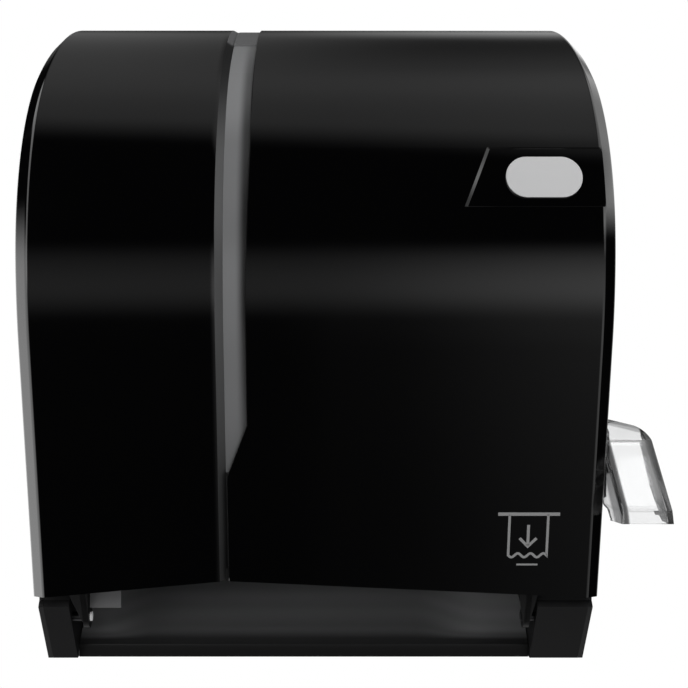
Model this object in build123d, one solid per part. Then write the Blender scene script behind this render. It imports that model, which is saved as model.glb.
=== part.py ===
"""Lever paper towel dispenser: a wall-hung housing with a drop-front cover, a hand lever and its feed train.

Millimetres. X runs across the wall, -Y points into the room and +Z is up. The origin lies on the wall
plane (Y = 0) in the middle of the four wall screws. Side-view points are written as (Y, Z) pairs and
front-view points as (X, Z) pairs.
"""
from build123d import *

import math
import os

# ---------------------------------------------------------------- driving sizes
# Cover outline in side view: a leaning straight, then three arcs up and back to the wall
cover_half_width = 150.0
cover_wall = 2.5
cover_foot = (-180.4, -150.2)  # lowest front point of the side edge
cover_lean = 14.6  # degrees the lower front leans out
cover_straight = 138.0
nose_radius, nose_sweep = 199.0, 12.67
brow_radius, brow_sweep = 118.0, 55.8
crown_radius = 270.0
strip_width = 8.0  # sloping strip between the front face and the side walls
strip_depth = 6.0
face_foot_z = -149.5  # lower edge of the front face at its ends
face_peak = (-47.0, -140.5)  # its highest point, at the seam groove
cut_reach = 400.0  # how far a cutting shape runs, past every part

# Seam groove, window recess and badge panel of the front face
seam_left_x, seam_floor_x, seam_right_x = -50.0, -46.4, -45.4
window_right_x, window_flare = -34.8, 1.8  # the recess widens by the flare towards its top
window_flare_z = (10.0, 80.0)
window_low_z, window_tip_z = -57.0, -84.0
recess_depth = 3.4
recess_rear_y = -55.0
window_pad = 3.0  # how much thicker the cover wall is behind the recess
window_pad_margin = 3.0
window_ledge = 1.6
window_glass_t, window_block_t = 1.3, 2.3
window_block_y = -137.0  # the block above the glass starts here
badge_panel_reach = (55.7, 68.1)  # from the face's right edge to its slanted side, above and below
badge_panel_z = (83.0, 52.0)
badge_panel_depth = 0.8
badge_from_edge, badge_z = 28.0, 67.3
badge_width, badge_height, badge_proud = 38.0, 21.0, 0.6

# Hinge at the cover's foot
hinge_axis = (-170.0, -163.0)
hinge_pin_r, hinge_pin_sink = 2.5, 4.5
hinge_eye_r = 6.0
ear_t, ear_from_cheek = 3.0, 6.5
ear_top_z = -138.0
ear_web = (0.7, 10.0)  # from the cheek to the two ends of the ear's web
ear_web_t = 2.4
leg_clear_r = 14.0  # the legs stay inside this radius, so the cover passes them
leg_arc_angles = (131.0, 148.0)

# Rear frame and side cheeks
frame_wall = 3.5
rim_t, rim_depth = 2.5, 16.0
bottom_z = -189.0
floor_t, floor_front_y = 2.5, -138.0
cheek_top_z = -42.0
cheek_toe_y = -156.2
cheek_corner_r = 18.0
cheek_plate_t = 3.0
left_cheek_depth, right_cheek_depth = 13.5, 26.5  # the right one is deeper, for the gears
side_plate_t = 2.7
screw_boss_r = 4.0
rib_t, rib_depth = 2.0, 5.5
frame_box_width, frame_box_depth = 9.0, 14.0  # screw blocks behind the cheeks
frame_clear = 0.8  # between the rear frame and the inside of the cover

# Wall screws
wall_spacing_x, wall_spacing_z = 160.0, 240.0
wall_slot_length, wall_slot_r = 12.0, 2.75
wall_boss_r, wall_boss_h = 10.0, 3.0

# Gear train
gear_module, pressure_angle, backlash = 1.5, 25.0, 0.14
sector_teeth, idler_pinion_teeth, idler_wheel_teeth, roller_teeth = 48, 12, 27, 18
sector_kept_teeth = 10
lever_axis = (-157.0, -84.0)
idler_direction, roller_direction = 2.0, -87.0  # degrees, from one gear centre to the next
gear_width = 7.0
gear_rim, gear_hub_wall, gear_hub_reach = 6.0, 3.0, 2.0
sector_hub_r, sector_spoke_angle = 9.0, 16.0
clutch_r = 8.0
stop_r, stop_post_r = 4.0, 2.4
stop_low_reach, stop_high_reach = 20.0, 28.0  # from the lever's axis to each stop
sector_from_cheek, wheel_from_cheek = 7.0, 16.0  # inner faces of the two gear planes
lever_travel = 48.0

# Shafts and rollers
shaft_r = 4.0
shaft_flat = 3.2  # height of the flat on the lever shaft above its axis
idler_pin_r, idler_pin_sink = 3.0, 1.9
fin_t = 2.0
clip_t = 1.2
spring_t, spring_up, spring_down = 0.6, 8.0, 26.0
spring_seat_from, spring_seat_to, spring_seat_width = 16.0, 25.0, 5.0
roller_end_gap = 5.0  # from a roller's body to the cheek
feed_r, feed_sleeve_t = 18.0, 2.1
nip_r, nip_core_r, nip_gap = 12.0, 9.0, 0.3
nip_direction = 190.0
nip_lift = 2.4  # how far the pressure roller can back away
sleeve_length, sleeve_count, sleeve_inset = 36.0, 4, 14.5
bush_r, bush_flange_r, bush_flange_t = 7.0, 9.0, 1.5

# Lever: its clearances are measured from the cover's side
boss_r, boss_clear = 11.0, 4.2
lever_hub_t = 3.0
lever_wall = 2.5
lever_clear, lever_lip_clear, lever_reach = 2.0, 7.0, 33.0
lever_face = ((-207.0, -108.0), (-207.5, -101.0), (-184.5, -66.7), (-165.0, -57.0))  # lip, lip, bend, back
lever_heel = (-193.0, -108.0)  # rear end of the lip's underside
lever_top_z, lever_top_drop = -55.2, 6.0  # the top edge falls towards the outer side
lever_corner_r = 9.0
lever_lean = 6.0  # the outer side leans in by this much from the lip to the top

# Roll holder
roll_axis = (-112.0, 60.0)
roll_from_cheek = 23.5  # from a cheek's plate to the face that the paper roll runs against
core_r, core_length = 18.5, 9.0
hub_flange_r, hub_flange_t = 30.0, 3.0
arm_t, arm_rib = 4.0, 6.0
arm_root_h, arm_tip_h = 36.0, 26.0
arm_pivot_y = -13.0
arm_stub_r, arm_stub_shoulder, arm_pin_r = 5.0, 1.4, 2.5
arm_lug_r, arm_lug_h = 6.0, 6.0
arm_pin_head_r, arm_pin_head_h = 4.0, 1.2
arm_spring_room = 9.0
arm_foot_t, arm_foot_width, arm_foot_extra = 4.0, 17.0, 4.0
arm_screw_x, arm_screw_spacing = 8.0, 28.0  # screw line from the arm's middle, and between the screws
hub_nose, hub_nose_taper, hub_hole_r, hub_holes = 4.0, 4.0, 3.5, 6

# Springs as wire radius, coil radius, turns and pitch
arm_spring_wire = (0.6, 4.2, 5, 1.5)
return_spring_wire = (0.7, 5.4, 4, 1.7)

# Screws as head radius, head height, shank radius and length under the head
plate_screw = (3.4, 1.3, 1.5, 9.0)
guide_screw = (3.2, 1.8, 1.5, 9.0)
blade_screw = (3.2, 1.6, 1.5, 7.0)
frame_screw, arm_screw = (4.0, 1.5, 2.0, 13.0), (4.0, 1.5, 2.0, 8.0)
lever_end_screw = (5.5, 2.4, 1.5, 8.0)
hub_end_screw = (7.0, 2.0, 2.0, 8.0)
cam_end_screw = (4.2, 1.8, 1.5, 8.0)
sunk = 1.9  # depth of the sunk screw seats in the wall side
plate_sunk = 1.5

# Chute, paper guide and blade
chute_crest, chute_lip = (-78.0, -153.0), (-154.0, -182.0)
chute_t = 2.5
chute_rear_y = -52.0
guide_web_y, guide_t = -157.0, 3.0
chute_ribs = 5
guide_top_z, guide_foot_z, guide_foot_y = -100.0, -138.6, -170.0
guide_screw_y, guide_screw_z = -165.0, (-128.0, -108.0)
guide_ribs, guide_rib_h = 8, 8.0
blade_screw_y, blade_screw_boss_h = -165.0, 5.0
blade_t, blade_width, blade_reach = 0.8, 14.0, 4.0
blade_inset = 14.0  # from a cheek's plate to the end of the blade
tooth_pitch, tooth_depth = 4.25, 2.2
tab_from_cheek = (10.4, 27.0)
tab_y, tab_foot_z = -177.0, -157.0

# Lock on top of the cover
lock_axis = (0.0, -32.0)  # X and Y
lock_barrel_r, lock_sleeve_r, lock_flange_r, lock_boss_r = 7.0, 9.0, 12.0, 10.5
lock_sink, lock_boss_h = 0.2, 6.2
lock_flange_h, lock_sleeve_reach, lock_proud = 1.4, 2.5, 1.2
key_slot_length, key_slot_width, key_slot_depth = 8.0, 1.8, 4.0
clip_mouth = 6.0
cam_square = 6.0
cam_t, cam_length, cam_width = 3.0, 20.0, 10.0
strike_drop, strike_t, strike_front_y, strike_half = 10.2, 3.0, -20.0, 11.0
cam_gap = 0.6

# Fits
running = 0.05  # radial clearance of a shaft that turns in a bore
seated = 0.05  # radial clearance of a part pushed into a hole
gap = 0.3  # clearance between parts that pass each other
flush = 0.02


# ---------------------------------------------------------------- helpers
def turn(angle):
    """Unit vector at an angle in degrees."""
    return math.cos(math.radians(angle)), math.sin(math.radians(angle))


def step(point, angle, distance):
    """The point at a distance from another, in the direction of an angle in degrees."""
    cosine, sine = turn(angle)
    return point[0] + distance * cosine, point[1] + distance * sine


def side_slab(face, x_from, x_to):
    """A side-view (Y, Z) face given its thickness along X."""
    return extrude(Plane.YZ.offset(x_from) * face, amount=x_to - x_from)


def front_slab(face, y_from, y_to):
    """A front-view (X, Z) face given its thickness along Y."""
    return extrude(Plane.XZ.offset(-y_to) * face, amount=y_to - y_from)


def upright(face, z_from, z_to):
    """A plan-view (X, Y) face given its thickness along Z."""
    return extrude(Plane.XY.offset(z_from) * face, amount=z_to - z_from)


def polygon(*points):
    return make_face(Polyline(*points, close=True))


def rod(radius, x_from, x_to, at):
    """A cylinder along X."""
    return side_slab(Pos(*at) * Circle(radius), x_from, x_to)


def tube(outer_r, inner_r, x_from, x_to, at):
    return side_slab(Pos(*at) * (Circle(outer_r) - Circle(inner_r)), x_from, x_to)


def block(x, y, z):
    """A block between two X, two Y and two Z values."""
    centre = [(low + high) / 2 for low, high in (x, y, z)]
    return Pos(*centre) * Box(x[1] - x[0], y[1] - y[0], z[1] - z[0])


def both(*shapes):
    return Compound(children=list(shapes))


def screw(size, place):
    """A pan-head screw: its head's underside is at the place's origin and its shank runs along -Z."""
    head_r, head_h, shank_r, length = size
    socket = extrude(Pos(0, 0, head_h) * RegularPolygon(head_r * 0.42, 6), amount=-head_h * 0.6)
    head = extrude(Circle(head_r), amount=head_h)
    head = chamfer(head.edges().group_by(Axis.Z)[-1], head_h * 0.3) - socket
    return place * (head + extrude(Circle(shank_r), amount=-length))


def screw_bore(size, clearance=seated):
    """Radius of the hole for a screw's shank."""
    return size[2] + clearance


def coil(wire_r, coil_r, turns, pitch):
    """A helical spring that starts at the origin and rises along Z."""
    path = Helix(pitch, turns * pitch, coil_r)
    return sweep(Plane(origin=path @ 0, z_dir=path % 0) * RegularPolygon(wire_r, 6), path=path, is_frenet=True)


# ---------------------------------------------------------------- cover outline
def outline_nodes(offset):
    """Where the straight and the arcs of the outline meet, moved outward by an offset."""
    angles = [cover_lean, cover_lean - nose_sweep, cover_lean - nose_sweep - brow_sweep]
    lean = turn(cover_lean)
    first = (cover_foot[0] - cover_straight * lean[1], cover_foot[1] + cover_straight * lean[0])
    nose_centre = step(first, angles[0], nose_radius)
    second = step(nose_centre, angles[1] + 180, nose_radius)
    brow_centre = step(second, angles[1], brow_radius)
    third = step(brow_centre, angles[2] + 180, brow_radius)
    crown_centre = step(third, angles[2], crown_radius)
    arcs = (
        (nose_centre, nose_radius + offset, angles[0] + 180, angles[1] + 180),
        (brow_centre, brow_radius + offset, angles[1] + 180, angles[2] + 180),
        (crown_centre, crown_radius + offset, angles[2] + 180, 90.0),
    )
    return arcs


def outline_front_y(offset, z):
    """Y of the leaning straight at a height."""
    slope = math.tan(math.radians(cover_lean))
    return cover_foot[0] - (z - cover_foot[1]) * slope - offset / turn(cover_lean)[0]


def shell_face(offset, foot_z=cover_foot[1], rear_y=0.0):
    """The closed side view of the cover, moved outward by an offset, down to a foot and back to a rear line."""
    arcs = outline_nodes(offset)
    edges = []
    start = (outline_front_y(offset, foot_z), foot_z)
    for centre, radius, angle_from, angle_to in arcs:
        begin = step(centre, angle_from, radius)
        if not edges:
            edges.append(Line(start, begin))
        middle = step(centre, (angle_from + angle_to) / 2, radius)
        here = step(centre, angle_to, radius)
        edges.append(ThreePointArc(begin, middle, here))
    behind = max(rear_y, here[0]) + cover_wall
    edges.append(Polyline(here, (behind, here[1]), (behind, foot_z), start))
    return make_face(edges) - Pos(rear_y + cut_reach / 2, 0) * Rectangle(cut_reach, 2 * cut_reach)


def crown_z(y, offset):
    """Height of the cover's top at a depth, moved outward by an offset."""
    centre, radius, _, _ = outline_nodes(offset)[2]
    ahead = max(0.0, centre[0] - y)
    return centre[1] + math.sqrt(radius ** 2 - ahead ** 2)


def shell_band(inner, outer, x_from, x_to, foot_z=cover_foot[1] - 5, rear_y=5.0):
    """The layer of the cover between two offsets of its outline."""
    return side_slab(shell_face(outer, foot_z, rear_y) - shell_face(inner, foot_z, rear_y), x_from, x_to)


def shell_body(sections, foot_z, rear_y):
    """A solid through outlines placed along X, each with its own offset."""
    faces = [Plane.YZ.offset(x) * shell_face(offset, foot_z, rear_y) for x, offset in sections]
    return loft(faces, ruled=True)


face_half_width = cover_half_width - strip_width
strip_slope = strip_depth / strip_width
wall_run = cover_wall * math.hypot(1, strip_slope)  # wall thickness of the strip, measured along the offset
inner_half_width = cover_half_width - cover_wall
inner_side_offset = strip_depth - strip_slope * (inner_half_width - face_half_width) - wall_run
inner_face_offset = strip_depth - cover_wall
inner_face_half = face_half_width + (strip_depth - wall_run - inner_face_offset) / strip_slope
top_z = crown_z(0, strip_depth)
cut_low_z = cover_foot[1] - 5

# Places along X, from the cover's side inwards
cheek_outer_x = inner_half_width - gap
cheek_rim_x = cheek_outer_x - side_plate_t
left_inner_x, right_inner_x = left_cheek_depth - cheek_rim_x, cheek_rim_x - right_cheek_depth
sector_x, wheel_x = right_inner_x + sector_from_cheek, right_inner_x + wheel_from_cheek
roller_left_x, roller_right_x = left_inner_x + roller_end_gap, right_inner_x - roller_end_gap
roll_left_x, roll_right_x = left_inner_x + roll_from_cheek, right_inner_x - roll_from_cheek
boss_end_x = cover_half_width + boss_clear
lever_hub_x = boss_end_x + gap
lever_left_x, lever_right_x = cover_half_width + lever_clear, cover_half_width + lever_reach
lever_lip_left_x = cover_half_width + lever_lip_clear
badge_centre = (face_half_width - badge_from_edge, badge_z)


def window_outline(shrink=0.0):
    """Front view of the window recess and the seam groove below it."""
    left, groove, right = seam_left_x + shrink, seam_right_x - shrink, window_right_x - shrink
    flare_low_z, flare_high_z = window_flare_z
    return polygon(
        (left, cut_reach), (left, cut_low_z), (groove, cut_low_z), (groove, window_tip_z),
        (right, window_low_z), (right, flare_low_z), (right + window_flare, flare_high_z),
        (right + window_flare, cut_reach),
    )


def window_recess():
    """The recess as a cutter: a slope on its left, then a floor at its full depth."""
    floor = strip_depth - recess_depth
    low, rear, right_x = cut_low_z, cover_wall, window_right_x + window_flare
    outside = side_slab(shell_face(2 * strip_depth, low, rear), seam_left_x, right_x)
    slope = shell_body(((seam_left_x, strip_depth), (seam_floor_x, floor)), low, rear)
    bed = side_slab(shell_face(floor, low, rear), seam_floor_x, right_x)
    reach = block((seam_left_x, right_x), (-cut_reach, recess_rear_y), (low, cut_reach))
    return (outside - slope - bed) & front_slab(window_outline(), -cut_reach, 0) & reach


def badge_outline():
    (top_reach, low_reach), (top, low) = badge_panel_reach, badge_panel_z
    return polygon((face_half_width - top_reach, top), (face_half_width - low_reach, low),
                   (face_half_width, low), (face_half_width, top))


def cover_ear(plate_x, cheek_x):
    """A hinge ear: a plate with an eye, and a tapering web that ties it to the front wall."""
    inwards = 1 if cheek_x < 0 else -1
    web_low_x, web_high_x = sorted(cheek_x + inwards * reach for reach in ear_web)
    wall_y = outline_front_y(inner_face_offset + 1, ear_top_z)
    foot_y = outline_front_y(inner_face_offset + 1, face_foot_z + 1)
    eye_front, eye_back = step(hinge_axis, 200, hinge_eye_r), step(hinge_axis, 20, hinge_eye_r)
    plate_face = polygon((wall_y, ear_top_z), (foot_y, face_foot_z + 1), eye_front, eye_back)
    plate = side_slab(plate_face, plate_x, plate_x + ear_t)
    plate += rod(hinge_eye_r, plate_x, plate_x + ear_t, hinge_axis)
    web_face = polygon(
        (foot_y, face_foot_z + 1), eye_front, (eye_front[0] + ear_web_t, eye_front[1] + 1),
        (foot_y + ear_web_t * 2, face_foot_z + 4), (wall_y, ear_top_z + 6),
    )
    taper = polygon(
        (web_low_x, ear_top_z + 6), (web_high_x, ear_top_z + 6), (web_high_x, face_foot_z),
        (plate_x + ear_t, eye_front[1] - 1), (plate_x, eye_front[1] - 1), (web_low_x, face_foot_z),
    )
    web = side_slab(web_face, web_low_x, web_high_x) & front_slab(taper, -cut_reach, 0)
    return plate + web - rod(hinge_pin_r + running, plate_x - ear_t, plate_x + 2 * ear_t, hinge_axis)


left_ear_x, right_ear_x = left_inner_x + ear_from_cheek, right_inner_x - ear_from_cheek
lock_seat_z = crown_z(lock_axis[1] - lock_flange_r, strip_depth) - lock_sink
lock_boss_z = lock_seat_z - lock_boss_h
strike_z = lock_seat_z - strike_drop
lever_band_r = math.dist(hinge_axis, lever_axis)
lever_band_half = boss_r + 1.5


def lever_passage():
    """The arched slot in the right wall that the lever's boss runs through as the cover swings."""
    ring = Circle(lever_band_r + lever_band_half) - Circle(lever_band_r - lever_band_half)
    far = cut_reach
    wedge = polygon((0, 0), (far, 0), (far, far), (-far, far), (-far * 0.5, far * 0.35))
    return side_slab(Pos(*hinge_axis) * (ring & wedge), face_half_width, cover_half_width + lever_clear)


def front_cover():
    outer = shell_body(
        ((-cover_half_width, 0), (-face_half_width, strip_depth), (face_half_width, strip_depth),
         (cover_half_width, 0)),
        cover_foot[1], 0.0)
    inner = shell_body(
        ((-inner_half_width, inner_side_offset), (-inner_face_half, inner_face_offset),
         (inner_face_half, inner_face_offset), (inner_half_width, inner_side_offset)),
        cut_low_z, cover_wall)
    pad_x = (seam_left_x - window_pad_margin, window_right_x + window_flare + window_pad_margin)
    pad = shell_band(inner_face_offset - window_pad, inner_face_offset + cover_wall / 5, *pad_x)
    pad &= block(pad_x, (-cut_reach, recess_rear_y + window_pad_margin), (face_peak[1] + 1, top_z))
    lock_boss = upright(Pos(*lock_axis) * Circle(lock_boss_r), lock_boss_z, lock_seat_z)
    body = outer - inner + pad + lock_boss
    body += cover_ear(left_ear_x, left_inner_x) + cover_ear(right_ear_x, right_inner_x)
    body -= window_recess()
    glass_x = (seam_floor_x + window_ledge, window_right_x - window_ledge)
    opening = shell_band(-window_pad, 2 * strip_depth, *glass_x)
    body -= opening & block(glass_x, (-cut_reach, window_block_y - window_ledge), (window_low_z + 2, top_z))
    panel = shell_band(strip_depth - badge_panel_depth, 2 * strip_depth, 0, face_half_width)
    body -= panel & front_slab(badge_outline(), -cut_reach, recess_rear_y)
    below = polygon((-face_half_width, face_foot_z), face_peak, (face_half_width, face_foot_z),
                    (face_half_width, -cut_reach), (-face_half_width, -cut_reach))
    body -= front_slab(below, -cut_reach, outline_front_y(inner_face_offset, face_foot_z) + flush)
    body -= lever_passage()
    body -= upright(Pos(*lock_axis) * Circle(lock_flange_r + seated), lock_seat_z, cut_reach)
    body -= upright(Pos(*lock_axis) * Circle(lock_sleeve_r + seated), lock_boss_z - 1, cut_reach)
    return body


# ---------------------------------------------------------------- parts of the cover
def window_strip():
    floor = strip_depth - recess_depth
    span = (seam_floor_x + gap, window_right_x + window_flare - gap)
    front = front_slab(window_outline(gap), -cut_reach, 0)
    glass = shell_band(floor, floor + window_glass_t, *span) & front
    glass &= block(span, (-cut_reach, window_block_y + 1), (window_tip_z + 2, top_z))
    end = shell_band(floor, floor + window_block_t, *span) & front
    end &= block(span, (window_block_y, recess_rear_y - gap), (0, top_z))
    return glass + end


def badge_plate():
    layer = shell_band(strip_depth - badge_panel_depth, strip_depth + badge_proud,
                       badge_centre[0] - badge_width, badge_centre[0] + badge_width)
    stadium = Pos(*badge_centre) * SlotOverall(badge_width, badge_height)
    return layer & front_slab(stadium, -cut_reach, recess_rear_y)


def hinge_pins():
    into_cheek = cheek_plate_t + hinge_pin_sink - gap
    left = rod(hinge_pin_r, left_inner_x - into_cheek, left_ear_x + ear_t + 1, hinge_axis)
    right = rod(hinge_pin_r, right_ear_x - 1, right_inner_x + into_cheek, hinge_axis)
    return both(left, right)


# ---------------------------------------------------------------- lock
def lock_sleeve():
    at = Pos(*lock_axis)
    body = upright(at * Circle(lock_flange_r), lock_seat_z, lock_seat_z + lock_flange_h)
    body += upright(at * Circle(lock_sleeve_r), lock_boss_z - lock_sleeve_reach, lock_seat_z)
    return body - upright(at * Circle(lock_barrel_r + running), 0, cut_reach)


def lock_clip():
    """A ring with a mouth that snaps on the sleeve under the boss."""
    ring = Circle(lock_boss_r) - Circle(lock_sleeve_r + seated)
    mouth = Pos(0, -lock_boss_r) * Rectangle(clip_mouth, lock_sleeve_r)
    return upright(Pos(*lock_axis) * (ring - mouth), lock_boss_z - clip_t, lock_boss_z)


cam_top_z = strike_z - cam_gap


def lock_barrel():
    at = Pos(*lock_axis)
    barrel = upright(at * Circle(lock_barrel_r), cam_top_z, lock_seat_z + lock_proud)
    key_slot = upright(at * Rectangle(key_slot_length, key_slot_width), lock_seat_z - key_slot_depth, cut_reach)
    tenon = upright(at * Rectangle(cam_square, cam_square), cam_top_z - cam_t, cam_top_z)
    bore = upright(at * Circle(screw_bore(cam_end_screw)), 0, cam_top_z - cam_t + cam_end_screw[3] + 1)
    return barrel + tenon - key_slot - bore


def lock_cam():
    """The cam points along +X when unlocked and swings back under the strike when locked."""
    arm = Pos(cam_length / 2 - cam_width / 4, 0) * SlotOverall(cam_length + cam_width / 2, cam_width)
    square = Rectangle(cam_square + 2 * seated, cam_square + 2 * seated)
    return upright(Pos(*lock_axis) * (arm - square), cam_top_z - cam_t, cam_top_z)


def cam_screw():
    return screw(cam_end_screw, Pos(*lock_axis, cam_top_z - cam_t) * Rot(180, 0, 0))


# ---------------------------------------------------------------- gears
def involute_angle(radius, base):
    """Involute of the pressure angle at a radius."""
    angle = math.acos(min(1.0, base / radius))
    return math.tan(angle) - angle


def gear_face(teeth, phase):
    """Side view of an involute gear with one tooth centred at the phase angle, in degrees."""
    pitch = gear_module * teeth / 2
    base = pitch * math.cos(math.radians(pressure_angle))
    tip, root = pitch + gear_module, pitch - 1.25 * gear_module
    half = math.pi / (2 * teeth) - backlash / (2 * pitch)
    start = max(base, root)
    radii = [start + (tip - start) * i / 4 for i in range(5)]
    if root < base:
        radii.insert(0, root)
    rise = [half + involute_angle(pitch, base) - involute_angle(max(r, base), base) for r in radii]
    points = []
    for tooth in range(teeth):
        centre = math.radians(phase) + 2 * math.pi * tooth / teeth
        flank = [(r * math.cos(centre - a), r * math.sin(centre - a)) for r, a in zip(radii, rise)]
        other = [(r * math.cos(centre + a), r * math.sin(centre + a)) for r, a in zip(radii, rise)]
        points += flank + other[::-1]
    return polygon(*points)


def centre_distance(teeth_a, teeth_b):
    return gear_module * (teeth_a + teeth_b) / 2


idler_axis = step(lever_axis, idler_direction, centre_distance(sector_teeth, idler_pinion_teeth))
feed_axis = step(idler_axis, roller_direction, centre_distance(idler_wheel_teeth, roller_teeth))
nip_axis = step(feed_axis, nip_direction, feed_r + nip_r + nip_gap)
tooth_angle = 360 / sector_teeth
sector_high = idler_direction + 1.5 * tooth_angle
sector_low = sector_high - sector_kept_teeth * tooth_angle


def shaft_face(clearance):
    """Round shaft with one flat."""
    radius = shaft_r + clearance
    return Circle(radius) & Pos(0, shaft_flat + clearance - radius) * Rectangle(4 * radius, 2 * radius)


def sector_gear():
    """A toothed sector with an opening between its two spokes, on a hub with a flat."""
    reach = gear_module * sector_teeth

    def sweep_of(*angles):
        return polygon((0, 0), *[step((0, 0), angle, reach) for angle in angles])

    whole = sweep_of(sector_low, (sector_low + sector_high) / 2, sector_high)
    between = sweep_of(sector_low + sector_spoke_angle, sector_high - sector_spoke_angle)
    ring = Circle(gear_module * sector_teeth / 2 - gear_rim) - Circle(sector_hub_r + gear_hub_wall)
    face = (gear_face(sector_teeth, idler_direction) & whole) - (ring & between)
    plate = side_slab(Pos(*lever_axis) * face, sector_x, sector_x + gear_width)
    hub = rod(sector_hub_r, sector_x - gear_hub_reach, sector_x + gear_width + gear_hub_reach, lever_axis)
    return plate + hub - side_slab(Pos(*lever_axis) * shaft_face(flush), right_inner_x, cheek_rim_x)


def idler_gear():
    pinion = gear_face(idler_pinion_teeth, idler_direction + 180 + 180 / idler_pinion_teeth)
    wheel = gear_face(idler_wheel_teeth, roller_direction)
    at = Pos(*idler_axis)
    body = side_slab(at * pinion, sector_x, wheel_x)
    body += side_slab(at * wheel, wheel_x, wheel_x + gear_width)
    dish = Circle(gear_module * idler_wheel_teeth / 2 - gear_rim) - Circle(idler_pin_r + 2 * gear_hub_wall)
    body -= side_slab(at * dish, wheel_x + gear_width - gear_hub_reach, wheel_x + gear_width)
    body += rod(idler_pin_r + gear_hub_wall, right_inner_x + cheek_plate_t + gap, cheek_rim_x - gap, idler_axis)
    return body - rod(idler_pin_r + running, right_inner_x, cheek_rim_x, idler_axis)


def roller_pinion():
    face = gear_face(roller_teeth, roller_direction + 180 + 180 / roller_teeth) - Circle(clutch_r + seated)
    return side_slab(Pos(*feed_axis) * face, wheel_x, wheel_x + gear_width)


def one_way_clutch():
    return tube(clutch_r, shaft_r + running, wheel_x, wheel_x + gear_width, feed_axis)


# ---------------------------------------------------------------- cheeks
screw_points = ((-15.0, cheek_top_z - 13), (-15.0, bottom_z + 13), (-150.0, bottom_z + 12),
                (hinge_axis[0] + 1.5, cheek_top_z - 15))
frame_screw_z = (cheek_top_z - 28, bottom_z + 30)
frame_screw_x = cheek_rim_x - 10


def cheek_outline():
    """Side view of a cheek: floor line, sloping leg, an arc that clears the cover's foot, front and top."""
    arc_from, arc_to = leg_arc_angles
    crest = step(hinge_axis, arc_from, leg_clear_r)
    shin = step(hinge_axis, arc_to, leg_clear_r)
    middle = step(hinge_axis, (arc_from + arc_to) / 2, leg_clear_r)
    corner = (crest[0] + cheek_corner_r, cheek_top_z - cheek_corner_r)
    return make_face([
        Polyline((-frame_wall, bottom_z), (cheek_toe_y, bottom_z), shin),
        ThreePointArc(shin, middle, crest),
        Line(crest, (crest[0], corner[1])),
        ThreePointArc((crest[0], corner[1]), step(corner, 135, cheek_corner_r), (corner[0], cheek_top_z)),
        Polyline((corner[0], cheek_top_z), (-frame_wall, cheek_top_z), (-frame_wall, bottom_z)),
    ])


def cheek(inner_x, rim_x):
    """A side frame: a plate that faces the paper and a rim round it, open outwards."""
    out = 1 if rim_x > inner_x else -1
    low, high = sorted((inner_x, rim_x))
    outline = cheek_outline()
    body = side_slab(outline, low, high)
    hollow = offset(outline, -rim_t, kind=Kind.INTERSECTION)
    cavity = sorted((inner_x + out * cheek_plate_t, rim_x + out))
    body -= side_slab(hollow, *cavity)
    posts = [rod(screw_boss_r, *sorted((inner_x, rim_x)), point) for point in screw_points]
    posts.append(rod(hinge_eye_r, *sorted((inner_x, inner_x + out * 3 * cheek_plate_t)), hinge_axis))
    for post in posts:
        body += post & side_slab(outline, low, high)
    box_y = (-frame_wall - frame_box_depth, -frame_wall)
    for z in frame_screw_z:
        middle, half = out * frame_screw_x, frame_box_width / 2
        body += block((middle - half, middle + half), box_y, (z - half, z + half))
        body += block(sorted((middle, inner_x)), box_y, (z - rib_t, z + rib_t))
        body -= front_slab(Pos(middle, z) * Circle(screw_bore(frame_screw)), box_y[0] - 1, 0)
    for point in screw_points:
        body -= rod(screw_bore(plate_screw), *sorted((rim_x - out * (plate_screw[3] + 1), rim_x + out)), point)
    pin_bore = sorted((inner_x - out, inner_x + out * (cheek_plate_t + hinge_pin_sink)))
    body -= rod(hinge_pin_r + seated, *pin_bore, hinge_axis)
    through = sorted((inner_x - out, inner_x + out * (cheek_plate_t + 1)))
    body -= rod(bush_r + seated, *through, feed_axis)
    slot_width = 2 * (shaft_r + gap)
    slot = Pos(nip_lift / 2, 0) * SlotOverall(slot_width + nip_lift, slot_width)
    body -= side_slab(Pos(*nip_axis) * Rot(0, 0, nip_direction) * slot, *through)
    for z in guide_screw_z:
        body -= rod(screw_bore(guide_screw), *through, (guide_screw_y, z))
    spring_end_x = axle_right_x if out > 0 else axle_left_x
    body += side_slab(spring_seat_face(), *sorted((inner_x + out * cheek_plate_t / 2, spring_end_x)))
    return body


def left_cheek():
    return cheek(left_inner_x, -cheek_rim_x)


def stop_points():
    """Centres of the two stops, beside the sector's lower edge at rest and its upper edge at full travel."""
    low = step(step(lever_axis, sector_low, stop_low_reach), sector_low - 90, stop_r + gap)
    high_angle = sector_high + lever_travel
    high = step(step(lever_axis, high_angle, stop_high_reach), high_angle + 90, stop_r + gap)
    return low, high


def right_cheek():
    body = cheek(right_inner_x, cheek_rim_x)
    plate_end = right_inner_x + cheek_plate_t
    for point in stop_points():
        body += rod(stop_post_r, plate_end, sector_x + gear_width, point)
    body -= rod(bush_r + seated, right_inner_x - 1, plate_end + 1, lever_axis)
    return body - rod(idler_pin_r + seated, plate_end - idler_pin_sink - flush, plate_end + 1, idler_axis)


def stop_buffers():
    span = (sector_x - gear_hub_reach, sector_x + gear_width)
    return both(*[tube(stop_r, stop_post_r + seated, *span, point) for point in stop_points()])


def side_plate(x_from, x_to, out):
    """The outer plate of a cheek, with sunk screw holes."""
    body = side_slab(cheek_outline(), x_from, x_to)
    outside = x_to if out > 0 else x_from
    for point in screw_points:
        body -= rod(screw_bore(plate_screw, gap), x_from - 1, x_to + 1, point)
        body -= rod(plate_screw[0] + gap, *sorted((outside - out * plate_sunk, outside + out)), point)
    return body


def left_side_cover():
    return side_plate(-cheek_outer_x, -cheek_rim_x, -1)


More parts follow.
